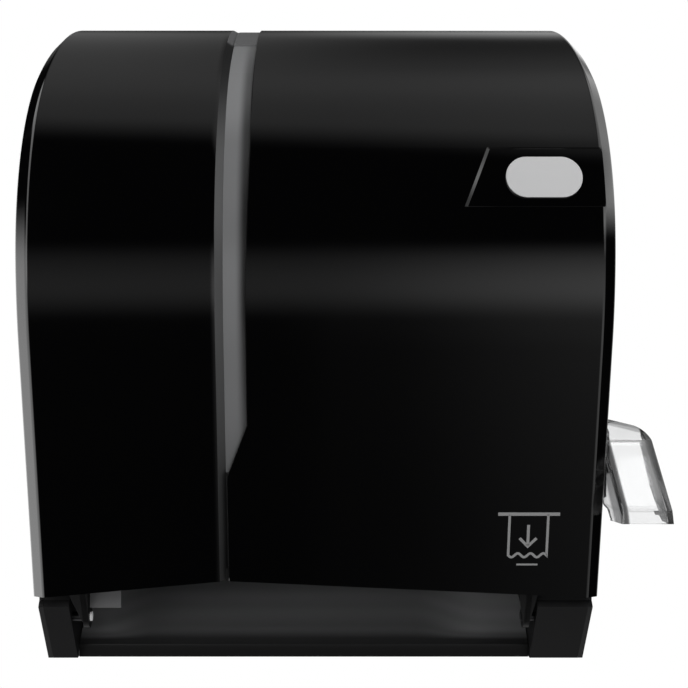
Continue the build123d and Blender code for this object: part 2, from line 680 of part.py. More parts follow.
def gear_cover():
    body = side_plate(cheek_rim_x, cheek_outer_x, 1) + rod(boss_r, cheek_outer_x, boss_end_x, lever_axis)
    body -= rod(bush_r + seated, cheek_rim_x - 1, boss_end_x + 1, lever_axis)
    return body - rod(idler_pin_r + seated, cheek_rim_x - 1, cheek_rim_x + plate_sunk, idler_axis)


def plate_screws(out):
    seat_x = out * (cheek_outer_x - plate_sunk)
    return [screw(plate_screw, Pos(seat_x, *point) * Rot(0, 90 * out, 0)) for point in screw_points]


def gear_cover_screws():
    return both(*plate_screws(1))


def side_cover_screws():
    return both(*plate_screws(-1))


# ---------------------------------------------------------------- rear frame
frame_half = cheek_outer_x
frame_top_z = crown_z(-frame_wall - rim_depth, inner_face_offset) - frame_clear
frame_ribs_z = (-wall_spacing_z / 2 - 30, cheek_top_z + 6, roll_axis[1] - 38, roll_axis[1] + 38,
                wall_spacing_z / 2 + 30)
frame_ribs_x = (-wall_spacing_x * 3 / 8, 0, wall_spacing_x * 3 / 8)


def frame_outline(inset=0.0):
    """Front view of the rear frame, following the cover's inside with an even clearance."""
    drop = inner_face_offset - inner_side_offset
    top = frame_top_z - inset
    side = frame_half - inset
    return polygon((-side, bottom_z + inset), (side, bottom_z + inset), (side, top - drop),
                   (inner_face_half - frame_clear - inset, top), (-inner_face_half + frame_clear + inset, top),
                   (-side, top - drop))


arm_low_z, arm_high_z = roll_axis[1] - arm_root_h / 2, roll_axis[1] + arm_root_h / 2


def arm_centre_x(flange_x, out):
    """Middle of an arm's plate, beyond the hub's flange."""
    return flange_x + out * (hub_flange_t + gap + arm_stub_shoulder + arm_t / 2)


left_arm_x = arm_centre_x(roll_left_x, -1)
right_arm_x = arm_centre_x(roll_right_x, 1)
frame_screw_points = [(x, z) for x in (-frame_screw_x, frame_screw_x) for z in frame_screw_z]
arm_screw_points = [(right_arm_x + arm_screw_x, roll_axis[1] + side * arm_screw_spacing / 2)
                    for side in (-1, 1)]
back_screw_points = frame_screw_points + arm_screw_points


def rear_frame():
    rim_front = -frame_wall - rim_depth
    body = front_slab(frame_outline(), -frame_wall, 0)
    rim = front_slab(frame_outline() - frame_outline(rim_t), rim_front, -frame_wall)
    body += rim - block((-cut_reach, cut_reach), (-cut_reach, 0), (-cut_reach, cheek_top_z + gap))
    body += block((left_inner_x, right_inner_x), (floor_front_y, -frame_wall), (bottom_z, bottom_z + floor_t))
    rib_y = (-frame_wall - rib_depth, -frame_wall)
    rib_end = face_half_width - 8
    for z in frame_ribs_z:
        rib_x = (-rib_end, rib_end) if z > cheek_top_z else (left_inner_x, right_inner_x)
        body += block(rib_x, rib_y, (z - rib_t / 2, z + rib_t / 2))
    for x in frame_ribs_x:
        body += block((x - rib_t / 2, x + rib_t / 2), rib_y, (bottom_z, strike_z - 7))
    for x in (-wall_spacing_x / 2, wall_spacing_x / 2):
        for z in (-wall_spacing_z / 2, wall_spacing_z / 2):
            boss = Pos(x, z) * SlotOverall(wall_slot_length + 10, 2 * wall_boss_r)
            body += front_slab(boss, -frame_wall - wall_boss_h, -frame_wall)
            body -= front_slab(Pos(x, z) * SlotOverall(wall_slot_length, 2 * wall_slot_r), -rim_depth, 1)
    # two lugs hold the left arm's pin
    lug = Pos(left_arm_x, arm_pivot_y) * Circle(arm_lug_r)
    lug += Pos(left_arm_x, (arm_pivot_y - frame_wall) / 2) * Rectangle(2 * arm_lug_r, -arm_pivot_y - frame_wall)
    for z in (arm_low_z - arm_lug_h, arm_high_z + gap):
        body += upright(lug, z, z + arm_lug_h - gap)
    body -= upright(Pos(left_arm_x, arm_pivot_y) * Circle(arm_pin_r + seated), arm_low_z - 2 * arm_lug_h,
                    arm_high_z + 2 * arm_lug_h)
    # strike shelf over the lock's cam
    body += block((-strike_half, strike_half), (strike_front_y, -frame_wall), (strike_z, strike_z + strike_t))
    for x in (rib_t / 2 - strike_half, strike_half - rib_t / 2):
        body += block((x - rib_t / 2, x + rib_t / 2), (strike_front_y + rib_t, -frame_wall),
                      (strike_z + strike_t, frame_top_z - rim_t))
    for x, z in back_screw_points:
        body -= front_slab(Pos(x, z) * Circle(screw_bore(frame_screw, gap)), -rim_depth, 1)
        body -= front_slab(Pos(x, z) * Circle(frame_screw[0] + gap), -sunk, 1)
    return body


def back_screws(size, points):
    """Screws that enter from the wall side."""
    return both(*[screw(size, Pos(x, -sunk, z) * Rot(-90, 0, 0)) for x, z in points])


def frame_screws():
    return back_screws(frame_screw, frame_screw_points)


def arm_screws():
    return back_screws(arm_screw, arm_screw_points)


# ---------------------------------------------------------------- roll holder
def arm_outline(root_y):
    """Side view of a roll arm: deep at the wall, round at the hub."""
    tip = arm_tip_h / 2
    body = polygon((root_y, arm_low_z), (root_y, arm_high_z), (roll_axis[0], roll_axis[1] + tip),
                   (roll_axis[0], roll_axis[1] - tip))
    return body + Pos(*roll_axis) * Circle(tip)


def roll_arm(x, out, root_y):
    """A roll arm: a plate with a border rib on its outer side and a stub for the hub on its inner side."""
    outline = arm_outline(root_y)
    plate = side_slab(outline, x - arm_t / 2, x + arm_t / 2)
    border = outline - offset(outline, -arm_t * 0.75, kind=Kind.INTERSECTION)
    border += Pos(*roll_axis) * Circle(2 * arm_t)
    border += Pos((root_y + roll_axis[0]) / 2, roll_axis[1]) * Rectangle(abs(root_y - roll_axis[0]), rib_t)
    plate += side_slab(border, *sorted((x, x + out * (arm_t / 2 + arm_rib))))
    stub_end = x - out * (arm_t / 2 + arm_stub_shoulder + hub_flange_t + gap + core_length + hub_nose + gap)
    stub = sorted((x, stub_end))
    plate += rod(arm_stub_r, *stub, roll_axis)
    plate += rod(arm_stub_r + arm_rib / 2, *sorted((x, x - out * (arm_t / 2 + arm_stub_shoulder))), roll_axis)
    bore = sorted((stub_end, stub_end + out * (hub_end_screw[3] + 1)))
    return plate - rod(screw_bore(hub_end_screw), *bore, roll_axis)


def left_roll_arm():
    """The swinging arm, with a knuckle on its pin above the room for its spring."""
    body = roll_arm(left_arm_x, -1, arm_pivot_y - 1.5 * arm_lug_r)
    at = Pos(left_arm_x, arm_pivot_y)
    knuckle = at * Circle(arm_lug_r) + at * Pos(0, -arm_lug_r) * Rectangle(2 * arm_t, 1.5 * arm_lug_r)
    body += upright(knuckle, arm_low_z + arm_spring_room, arm_high_z)
    return body - upright(at * Circle(arm_pin_r + running), arm_low_z - 1, arm_high_z + 1)


def left_arm_pin():
    at, head_z = Pos(left_arm_x, arm_pivot_y), arm_high_z + arm_lug_h
    head = upright(at * Circle(arm_pin_head_r), head_z, head_z + arm_pin_head_h)
    return upright(at * Circle(arm_pin_r), arm_low_z - arm_lug_h, head_z) + head


def arm_spring():
    wire_r = arm_spring_wire[0]
    return Pos(left_arm_x, arm_pivot_y, arm_low_z + wire_r + gap) * coil(*arm_spring_wire)


def right_roll_arm():
    """The fixed arm, on a foot that is screwed to the rear frame."""
    body = roll_arm(right_arm_x, 1, -frame_wall - arm_foot_t + 1)
    foot_x = (right_arm_x - arm_t / 2, right_arm_x - arm_t / 2 + arm_foot_width)
    body += block(foot_x, (-frame_wall - arm_foot_t, -frame_wall),
                  (arm_low_z - arm_foot_extra, arm_high_z + arm_foot_extra))
    for x, z in arm_screw_points:
        body -= front_slab(Pos(x, z) * Circle(screw_bore(arm_screw)), -rim_depth, 0)
    return body


def roll_hub(face_x, out):
    """A hub: a flange with holes, a plug for the paper core and a tapered nose."""
    flange = sorted((face_x, face_x + out * hub_flange_t))
    plug = sorted((face_x, face_x - out * core_length))
    body = rod(hub_flange_r, *flange, roll_axis) + rod(core_r, *plug, roll_axis)
    end = face_x - out * core_length
    nose = loft([Plane.YZ.offset(end) * Pos(*roll_axis) * Circle(core_r),
                 Plane.YZ.offset(end - out * hub_nose) * Pos(*roll_axis) * Circle(core_r - hub_nose_taper)])
    body += nose
    cup = sorted((face_x - out * hub_flange_t / 2, end - out * (hub_nose + 1)))
    body -= tube(core_r - 1.5 * hub_nose_taper, arm_stub_r + hub_flange_t, *cup, roll_axis)
    for i in range(hub_holes):
        body -= rod(hub_hole_r, *flange, step(roll_axis, i * 360 / hub_holes, (hub_flange_r + core_r) / 2))
    return body - rod(arm_stub_r + running, face_x - cut_reach, face_x + cut_reach, roll_axis)


def hub_screw(face_x, out):
    end = face_x - out * (core_length + hub_nose + gap)
    return screw(hub_end_screw, Pos(end, *roll_axis) * Rot(0, -90 * out, 0))


# ---------------------------------------------------------------- rollers and bearings
def bush(face_x, out, at, length):
    """A flanged bush: its flange lies on the face and its body runs the other way."""
    flange = sorted((face_x, face_x + out * bush_flange_t))
    body = rod(bush_flange_r, *flange, at) + rod(bush_r, *sorted((face_x, face_x - out * length)), at)
    return body - rod(shaft_r + running, face_x - cut_reach, face_x + cut_reach, at)


def feed_bushes():
    return both(bush(left_inner_x, 1, feed_axis, cheek_plate_t),
                bush(right_inner_x, -1, feed_axis, cheek_plate_t))


def lever_bushes():
    plain = tube(bush_r, shaft_r + running, cheek_rim_x, boss_end_x, lever_axis)
    return both(bush(right_inner_x + cheek_plate_t, 1, lever_axis, cheek_plate_t), plain)


def idler_pin():
    start, end = right_inner_x + cheek_plate_t - idler_pin_sink, cheek_rim_x + plate_sunk - flush
    return rod(idler_pin_r, start, end, idler_axis)


def sleeve_centres():
    inset = sleeve_inset + sleeve_length / 2
    first, last = roller_left_x + inset, roller_right_x - inset
    return [first + (last - first) * i / (sleeve_count - 1) for i in range(sleeve_count)]


def sleeves(outer_r, inner_r, at):
    half = sleeve_length / 2
    return both(*[tube(outer_r, inner_r, x - half, x + half, at) for x in sleeve_centres()])


def feed_roller():
    """A ribbed roller core: four fins round a shaft, closed by a disc at each end."""
    fin_r = feed_r - feed_sleeve_t - seated
    cross = Circle(shaft_r + fin_t / 2) + Rectangle(2 * fin_r, fin_t) + Rectangle(fin_t, 2 * fin_r)
    body = side_slab(Pos(*feed_axis) * (cross & Circle(fin_r)), roller_left_x, roller_right_x)
    for x in (roller_left_x, roller_right_x - fin_t):
        body += rod(fin_r, x, x + fin_t, feed_axis)
    beyond = 2 * clip_t + gap
    return body + rod(shaft_r, left_inner_x - cheek_plate_t - beyond, wheel_x + gear_width + beyond, feed_axis)


def grip_sleeves():
    return sleeves(feed_r, feed_r - feed_sleeve_t, feed_axis)


def feed_clips():
    left = left_inner_x - cheek_plate_t - gap
    right = wheel_x + gear_width + gap
    return both(tube(bush_r, shaft_r + flush, left - clip_t, left, feed_axis),
                tube(bush_r, shaft_r + flush, right, right + clip_t, feed_axis))


axle_left_x = left_inner_x - cheek_plate_t - shaft_r - 1
axle_right_x = right_inner_x + cheek_plate_t + shaft_r - 2 * gap


def pressure_roller():
    axle = rod(shaft_r, axle_left_x, axle_right_x, nip_axis)
    return axle + rod(nip_core_r, roller_left_x, roller_right_x, nip_axis)


def pressure_tyres():
    return sleeves(nip_r, nip_core_r + flush, nip_axis)


def leaf_frame():
    """Side-view placement of a leaf spring: its length runs along the local X axis, downwards."""
    touch = step(nip_axis, nip_direction, shaft_r + gap + spring_t / 2)
    return Pos(*touch) * Rot(0, 0, nip_direction + 90)


def pressure_springs():
    leaf = leaf_frame() * Pos((spring_down - spring_up) / 2, 0) * Rectangle(spring_up + spring_down, spring_t)
    return both(side_slab(leaf, axle_left_x, left_inner_x - cheek_plate_t - 1),
                side_slab(leaf, right_inner_x + cheek_plate_t + gap, axle_right_x))


def spring_seat_face():
    """A block on the cheek with a slit that grips the leaf's lower end."""
    middle, length = (spring_seat_from + spring_seat_to) / 2, spring_seat_to - spring_seat_from
    seat = leaf_frame() * Pos(middle, 0) * Rectangle(length, spring_seat_width)
    return seat - leaf_frame() * Pos(middle, 0) * Rectangle(2 * length, spring_t + 2 * seated)


# ---------------------------------------------------------------- lever
lever_axis_y, lever_axis_z = lever_axis
lever_lip, lever_lip_top, lever_bend, lever_back = lever_face
lever_outline = (*lever_face, (lever_axis_y, lever_axis_z + boss_r), (lever_axis_y, lever_axis_z - boss_r),
                 (lever_axis_y - 4, lever_axis_z - boss_r - 1.5), lever_heel)
lever_flange = (lever_lip, lever_lip_top, lever_bend, (lever_back[0] - 7, lever_back[1] - 4),
                (lever_back[0] - 0.5, lever_back[1] - 13), (lever_heel[0] + 15, lever_heel[1] + 16), lever_heel)


def lever_plan(*points):
    """A plan-view outline as an upright solid that is taller than the lever."""
    return upright(polygon(*points), -cut_reach, cut_reach)


def lever():
    """A channel-shaped push lever: a broad pad in front, a hub arm on its inner side and a flange outside."""
    lip_y, bend_y, hub_front = lever_lip_top[0] - 1, lever_bend[0] - 1.5, lever_axis_y - boss_r - 1
    profile = polygon(*lever_outline)
    roof_z = lever_back[1] - lever_wall
    rear = polygon(*[(y + lever_wall * 1.6, z - lever_wall) for y, z in (lever_lip, lever_lip_top, lever_bend)],
                   (lever_back[0], roof_z), (0, roof_z), (0, lever_lip[1] - 9))
    pad = side_slab(profile - rear, lever_left_x, lever_right_x)
    pad &= lever_plan((lever_left_x, 0), (lever_left_x, bend_y), (lever_lip_left_x, lip_y),
                      (lever_right_x, lip_y), (lever_right_x, 0))
    hub_end, arm_x = lever_hub_x + lever_hub_t, lever_left_x + lever_wall
    arm = side_slab(profile, lever_left_x, lever_right_x) & lever_plan(
        (lever_hub_x, lever_axis_y + 2), (hub_end, lever_axis_y + 2), (hub_end, hub_front - 5),
        (arm_x, hub_front - 8), (arm_x, bend_y), (lever_lip_left_x + lever_wall, lip_y),
        (lever_lip_left_x, lip_y), (lever_left_x, bend_y), (lever_left_x, hub_front), (lever_hub_x, hub_front))
    low, high, outer_high = lever_lip[1], lever_top_z, lever_top_z - lever_top_drop
    outer_top_x, inner_x = lever_right_x - lever_lean, lever_right_x - lever_wall
    leaning = polygon((inner_x, low), (lever_right_x, low), (outer_top_x, outer_high),
                      (outer_top_x - lever_wall, outer_high))
    flange = side_slab(polygon(*lever_flange), lever_left_x, lever_right_x) & front_slab(leaning, -cut_reach, 0)
    front = polygon((lever_left_x, high), (outer_top_x, outer_high), (lever_right_x, low), (lever_left_x, low))
    corner = front.vertices().sort_by(Axis.Y)[-2:].sort_by(Axis.X)[-1]
    body = (pad + arm + flange) & front_slab(fillet(corner, lever_corner_r), -cut_reach, 0)
    body += rod(boss_r, lever_hub_x, hub_end, lever_axis)
    return body - side_slab(Pos(*lever_axis) * shaft_face(flush), lever_hub_x - 1, hub_end + 1)


shaft_shoulder = (sector_x + gear_width + gear_hub_reach + flush, lever_hub_x - flush)


def lever_shaft():
    """Flatted under the gear and the lever, and round between them."""
    start, end = right_inner_x + gap, lever_hub_x + lever_hub_t - gap
    body = side_slab(Pos(*lever_axis) * shaft_face(0), start, end) + rod(shaft_r, *shaft_shoulder, lever_axis)
    return body - rod(screw_bore(lever_end_screw), end - lever_end_screw[3] - 1, end + 1, lever_axis)


def lever_screw():
    return screw(lever_end_screw, Pos(lever_hub_x + lever_hub_t, *lever_axis) * Rot(0, 90, 0))


def return_spring():
    start_x = sector_x + gear_width + gear_hub_reach + return_spring_wire[0] + gap
    return Pos(start_x, *lever_axis) * Rot(0, 90, 0) * coil(*return_spring_wire)


# ---------------------------------------------------------------- chute, guide and blade
bay_x = (left_inner_x + gap, right_inner_x - gap)


def evenly(count, low, high):
    """Middles of equal shares of a span."""
    return [low + (high - low) * (i + 0.5) / count for i in range(count)]


def chute_line(inset):
    """Top of the chute in side view, from its rear to its lip, moved inwards by an inset."""
    crest, lip = chute_crest, chute_lip
    run, drop = crest[0] - lip[0], crest[1] - lip[1]
    radius = (run * run + drop * drop) / (2 * drop)
    centre = (crest[0], crest[1] - radius)
    radius -= inset
    lip_y = lip[0] + inset
    lip_z = centre[1] + math.sqrt(radius ** 2 - (centre[0] - lip_y) ** 2)
    half_angle = (90 + math.degrees(math.atan2(lip_z - centre[1], lip_y - centre[0]))) / 2
    foot = bottom_z - inset
    rear = chute_rear_y - inset
    top = centre[1] + radius
    return make_face([
        Line((rear, top), (centre[0], top)),
        ThreePointArc((centre[0], top), step(centre, half_angle, radius), (lip_y, lip_z)),
        Polyline((lip_y, lip_z), (lip_y, foot), (rear, foot), (rear, top)),
    ])


def chute():
    """A curved chute under the rollers, hollow below, with ribs that stand on the floor."""
    floor_z = bottom_z + floor_t
    body = side_slab(chute_line(0) - chute_line(chute_t), *bay_x)
    for x in evenly(chute_ribs, *bay_x):
        body += side_slab(chute_line(chute_t - gap), x - rib_t / 2, x + rib_t / 2)
    body -= block(bay_x, (floor_front_y - gap, 0), (-cut_reach, floor_z))
    return body - block(bay_x, (-cut_reach, 0), (-cut_reach, bottom_z))


tab_x = [left_inner_x + reach for reach in tab_from_cheek]
blade_x = (left_inner_x + blade_inset, right_inner_x - blade_inset)
blade_screw_x = [sum(blade_x) / 2 + side * 0.4 * (blade_x[1] - blade_x[0]) for side in (-1, 0, 1)]


def paper_guide():
    """The bar in front of the rollers; its foot carries the blade and a tab beside the left hinge ear."""
    body = block(bay_x, (guide_web_y - guide_t, guide_web_y), (guide_foot_z, guide_top_z))
    body += block(bay_x, (guide_foot_y, guide_web_y), (guide_foot_z - guide_t, guide_foot_z))
    body += block(bay_x, (guide_web_y, guide_web_y + 4), (guide_top_z - guide_t, guide_top_z))
    for x in evenly(guide_ribs, *blade_x):
        body += block((x - rib_t / 2, x + rib_t / 2), (guide_foot_y + 1, guide_web_y),
                      (guide_foot_z, guide_foot_z + guide_rib_h))
    for out, end_x in ((-1, bay_x[0]), (1, bay_x[1])):
        for z in guide_screw_z:
            point = (guide_screw_y, z)
            post_x = sorted((end_x, end_x - out * blade_inset))
            body += rod(screw_boss_r, *post_x, point)
            body += block(post_x, (guide_screw_y, guide_web_y - 1), (z - rib_t, z + rib_t))
            body -= rod(screw_bore(guide_screw), *sorted((end_x + out, end_x - out * guide_screw[3])), point)
    body += block(tab_x, (tab_y, guide_foot_y), (guide_foot_z - guide_t, guide_foot_z))
    body += block(tab_x, (tab_y, tab_y + rib_t), (tab_foot_z, guide_foot_z))
    for x in blade_screw_x:
        at = Pos(x, blade_screw_y)
        body += upright(at * Circle(screw_boss_r), guide_foot_z, guide_foot_z + blade_screw_boss_h)
        body -= upright(at * Circle(screw_bore(blade_screw)), guide_foot_z - guide_t - 1,
                        guide_foot_z + blade_screw_boss_h - 1)
    return body


def tear_blade():
    """A toothed strip under the guide's foot."""
    rear = guide_foot_y + blade_width - blade_reach
    count = round((blade_x[1] - blade_x[0]) / tooth_pitch)
    pitch = (blade_x[1] - blade_x[0]) / count
    tip, root = guide_foot_y - blade_reach, guide_foot_y - blade_reach + tooth_depth
    teeth = []
    for i in range(count):
        start = blade_x[0] + i * pitch
        teeth += [(start, root), (start + pitch / 2, tip)]
    face = polygon(*teeth, (blade_x[1], root), (blade_x[1], rear), (blade_x[0], rear))
    for x in blade_screw_x:
        face -= Pos(x, blade_screw_y) * Circle(screw_bore(blade_screw))
    top = guide_foot_z - guide_t
    return upright(face, top - blade_t, top)


def blade_screws():
    under = guide_foot_z - guide_t - blade_t
    return both(*[screw(blade_screw, Pos(x, blade_screw_y, under) * Rot(180, 0, 0)) for x in blade_screw_x])


def guide_screws():
    screws = []
    for inner_x, out in ((left_inner_x, -1), (right_inner_x, 1)):
        head_x = inner_x + out * cheek_plate_t
        for z in guide_screw_z:
            screws.append(screw(guide_screw, Pos(head_x, guide_screw_y, z) * Rot(0, 90 * out, 0)))
    return both(*screws)


# ---------------------------------------------------------------- export
nodes = {
    "rear_frame": rear_frame, "left_cheek": left_cheek, "right_cheek": right_cheek,
    "left_side_cover": left_side_cover, "gear_cover": gear_cover, "chute": chute,
    "paper_guide": paper_guide, "tear_blade": tear_blade, "blade_screws": blade_screws,
    "guide_screws": guide_screws, "frame_screws": frame_screws, "gear_cover_screws": gear_cover_screws,
    "side_cover_screws": side_cover_screws, "hinge_pins": hinge_pins, "feed_bushes": feed_bushes,
    "lever_bushes": lever_bushes, "idler_pin": idler_pin, "pressure_springs": pressure_springs,
    "stop_buffers": stop_buffers, "right_roll_arm": right_roll_arm, "arm_screws": arm_screws,
    "left_arm_pin": left_arm_pin, "left_roll_arm": left_roll_arm, "arm_spring": arm_spring,
    "front_cover": front_cover, "window_strip": window_strip, "badge_plate": badge_plate,
    "lock_sleeve": lock_sleeve, "lock_clip": lock_clip, "lock_barrel": lock_barrel, "lock_cam": lock_cam,
    "cam_screw": cam_screw, "lever": lever, "lever_shaft": lever_shaft, "lever_screw": lever_screw,
    "sector_gear": sector_gear, "return_spring": return_spring, "idler_gear": idler_gear,
    "roller_pinion": roller_pinion, "one_way_clutch": one_way_clutch, "feed_roller": feed_roller,
    "grip_sleeves": grip_sleeves, "feed_clips": feed_clips, "pressure_roller": pressure_roller,
    "pressure_tyres": pressure_tyres,
    "left_hub": lambda: roll_hub(roll_left_x, -1), "right_hub": lambda: roll_hub(roll_right_x, 1),
    "left_hub_screw": lambda: hub_screw(roll_left_x, -1), "right_hub_screw": lambda: hub_screw(roll_right_x, 1),
}

os.makedirs("parts", exist_ok=True)
for name, make in nodes.items():
    export_step(make(), f"parts/{name}.step")
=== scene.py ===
"""Lever paper towel dispenser: the cover's shell, finishes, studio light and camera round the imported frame.

Metres, in the frame's own axes: X across the wall, -Y into the room, +Z up. Shapes are worked out in
millimetres and turned into metres as they go into a mesh.
"""
import functools
import math

import bmesh
import bpy
import numpy as np
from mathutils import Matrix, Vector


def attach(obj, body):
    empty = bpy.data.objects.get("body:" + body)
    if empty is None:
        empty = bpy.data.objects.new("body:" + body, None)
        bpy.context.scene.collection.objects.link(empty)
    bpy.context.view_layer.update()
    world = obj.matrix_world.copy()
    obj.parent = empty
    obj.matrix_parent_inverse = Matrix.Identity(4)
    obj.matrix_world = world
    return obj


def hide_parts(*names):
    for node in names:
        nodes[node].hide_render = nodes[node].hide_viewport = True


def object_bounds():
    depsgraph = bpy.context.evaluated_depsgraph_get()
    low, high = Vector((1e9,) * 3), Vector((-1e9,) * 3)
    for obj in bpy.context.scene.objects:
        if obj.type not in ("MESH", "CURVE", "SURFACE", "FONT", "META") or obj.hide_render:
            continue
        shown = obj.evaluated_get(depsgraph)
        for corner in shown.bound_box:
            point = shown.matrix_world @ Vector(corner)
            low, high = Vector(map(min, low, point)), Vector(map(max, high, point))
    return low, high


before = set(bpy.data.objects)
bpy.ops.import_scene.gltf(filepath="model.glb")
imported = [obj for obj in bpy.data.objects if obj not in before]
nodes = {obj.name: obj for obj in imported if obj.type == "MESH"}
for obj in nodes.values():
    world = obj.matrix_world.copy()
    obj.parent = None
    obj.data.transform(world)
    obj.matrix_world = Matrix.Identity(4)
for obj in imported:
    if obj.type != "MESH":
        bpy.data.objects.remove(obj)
cad_low, cad_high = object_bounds()

MM = 0.001
DOUBLED, COLLAPSED = 2e-6, 1e-7  # points closer than the first are one, shorter edges than the second go

# ------------------------ sizes shared with the solids, in mm
COVER_HALF, FACE_HALF = 150.0, 142.0
FOOT = (-180.4, -150.2)
LEAN = 14.6
STRAIGHT = 138.0
ARCS = ((199.0, 12.67), (118.0, 55.8), (270.0, None))  # radius and sweep; the last one ends level
FACE_OFFSET, INNER_FACE_OFFSET = 6.0, 3.5
INNER_HALF, INNER_SIDE_OFFSET, INNER_FACE_HALF = 147.5, -1.25, 141.17
EDGE_DROP = 3.0  # where the side wall's flat part ends, below the edge
EDGE_CORNER = 143.4  # where face and strip would meet if their edge were sharp
EDGE_ROUND, INNER_EDGE_ROUND, EDGE_FLAT = 3.0, 0.3, 4.0  # roundings, and the flat kept beside the corner
EDGE_STEPS, EDGE_HOLD = 8, 0.15
V_EDGE = ((-FACE_HALF, -149.5), (-47.0, -140.5), (FACE_HALF, -149.5))
RECESS_LEFT, RECESS_FLOOR_X, RECESS_RIGHT, GROOVE_RIGHT = -50.0, -46.4, -34.8, -45.4
RECESS_FLARE, FLARE_LOW, FLARE_HIGH = 1.8, 10.0, 80.0  # the recess widens to the right between these heights
RECESS_FLOOR, RECESS_PAD = 2.6, 0.5
SLOPE_FOOT = 3.85  # the slope ends at the window's surface, and drops to the floor beside it
PAD_LEFT, PAD_RIGHT = -53.0, -30.0
RECESS_LOW, RECESS_TIP = -57.0, -84.0
RECESS_REAR_Y, PAD_REAR_Y, PAD_LOW_Z = -55.0, -52.0, -139.5
GLASS_LEDGE, GLASS_LOW_Z, GLASS_TOP_Y = 1.6, -55.0, -138.6
BADGE_HIGH, BADGE_LOW, BADGE_OFFSET = (86.3, 83.0), (73.9, 52.0), 5.2
BADGE_BEVEL = 1.6
HINGE, HINGE_BORE, EYE_R = (-170.0, -163.0), 2.55, 6.0
LEVER_AXIS = (-157.0, -84.0)
LOCK = (0.0, -32.0)
LOCK_SEAT_Z, LOCK_BOSS_Z, LOCK_BOSS_R, LOCK_BOSS_GAP = 182.16, 175.96, 10.5, 0.4
LOCK_FLANGE_BORE, LOCK_SLEEVE_BORE = 12.05, 9.05
PASSAGE_HALF, PASSAGE_FROM, PASSAGE_TO = 12.5, -5.0, 98.0  # half the width and the sweep, in degrees


# ------------------------ mesh helpers
def new_object(name, data):
    """An object in the scene that shows a mesh, a lamp or a lens."""
    holder = bpy.data.objects.new(name, data)
    bpy.context.scene.collection.objects.link(holder)
    return holder


def closed_mesh(name, points, faces, smooth_angle=30.0):
    """A mesh from points in millimetres, with its faces turned outwards."""
    mesh = bpy.data.meshes.new(name)
    mesh.from_pydata((np.asarray(points, dtype=float) * MM).tolist(), [], [list(map(int, f)) for f in faces])
    shape = bmesh.new()
    shape.from_mesh(mesh)
    bmesh.ops.remove_doubles(shape, verts=shape.verts, dist=DOUBLED)
    bmesh.ops.dissolve_degenerate(shape, edges=shape.edges, dist=COLLAPSED)
    bmesh.ops.recalc_face_normals(shape, faces=shape.faces)
    shape.to_mesh(mesh)
    shape.free()
    shade(mesh, smooth_angle)
    return mesh


def shade(mesh, angle):
    """Smooth shading, with sharp edges above an angle in degrees."""
    mesh.shade_smooth()
    mesh.set_sharp_from_angle(angle=math.radians(angle))


def add_piece(name, points, faces, body, material, smooth_angle=30.0):
    """A mesh object from points in millimetres; it rides on a body and shows one material."""
    mesh = closed_mesh(name, points, faces, smooth_angle)
    piece = new_object(name, mesh)
    mesh.materials.append(material)
    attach(piece, body)
    return piece


def grid_faces(rows, columns, keep=None):
    """Quads of a grid with row-major points; keep is a mask of (rows - 1, columns - 1) cells."""
    i, j = np.meshgrid(np.arange(rows - 1), np.arange(columns - 1), indexing="ij")
    a = i * columns + j
    quads = np.stack([a, a + 1, a + columns + 1, a + columns], axis=-1)
    return quads[keep] if keep is not None else quads.reshape(-1, 4)


def shell(outer, inner, keep=None):
    """A closed wall between two grids of the same size: both grids' kept cells, and a rim quad on every
    edge that lies between a kept cell and none."""
    rows, columns = outer.shape[:2]
    keep = np.ones((rows - 1, columns - 1), bool) if keep is None else keep
    count = rows * columns
    skin = grid_faces(rows, columns, keep)
    faces = [skin, skin[:, ::-1] + count]
    padded = np.pad(keep, 1)
    index = np.arange(count).reshape(rows, columns)
    across = padded[:, 1:-1][:-1] != padded[:, 1:-1][1:]  # between rows
    along = padded[1:-1, :][:, :-1] != padded[1:-1, :][:, 1:]  # between columns
    for edges, down, over in ((across, 0, 1), (along, 1, 0)):
        i, j = np.nonzero(edges)
        first, second = index[i, j], index[i + down, j + over]
        faces.append(np.stack([first, second, second + count, first + count], axis=-1))
    points = np.concatenate([outer.reshape(-1, 3), inner.reshape(-1, 3)])
    return points, np.concatenate(faces)


def prism(outline, low, high, axis):
    """A polygon (n, 2) carried along an axis: its points are the other two coordinates, in order."""
    outline = np.asarray(outline, dtype=float)
    count = len(outline)
    ends = [np.insert(outline, axis, value, axis=1) for value in (low, high)]
    ring = np.arange(count)
    sides = np.stack([ring, (ring + 1) % count, (ring + 1) % count + count, ring + count], axis=-1)
    return np.concatenate(ends), [ring[::-1], ring + count, *sides]


def circle(centre, radius, steps=96, start=0.0, end=360.0, closed=True):
    """Points on an arc: centre + radius * (cos, sin)."""
    angles = np.radians(np.linspace(start, end, steps, endpoint=not closed))
    return np.stack([centre[0] + radius * np.cos(angles), centre[1] + radius * np.sin(angles)], axis=-1)


def unit(vectors):
    return vectors / np.linalg.norm(vectors, axis=-1, keepdims=True)


FLAT_ANGLE, COPY_CREASE, SHARP_ANGLE = 0.5, 32.0, 35.0  # degrees: joined flat, shaded sharp, rounded


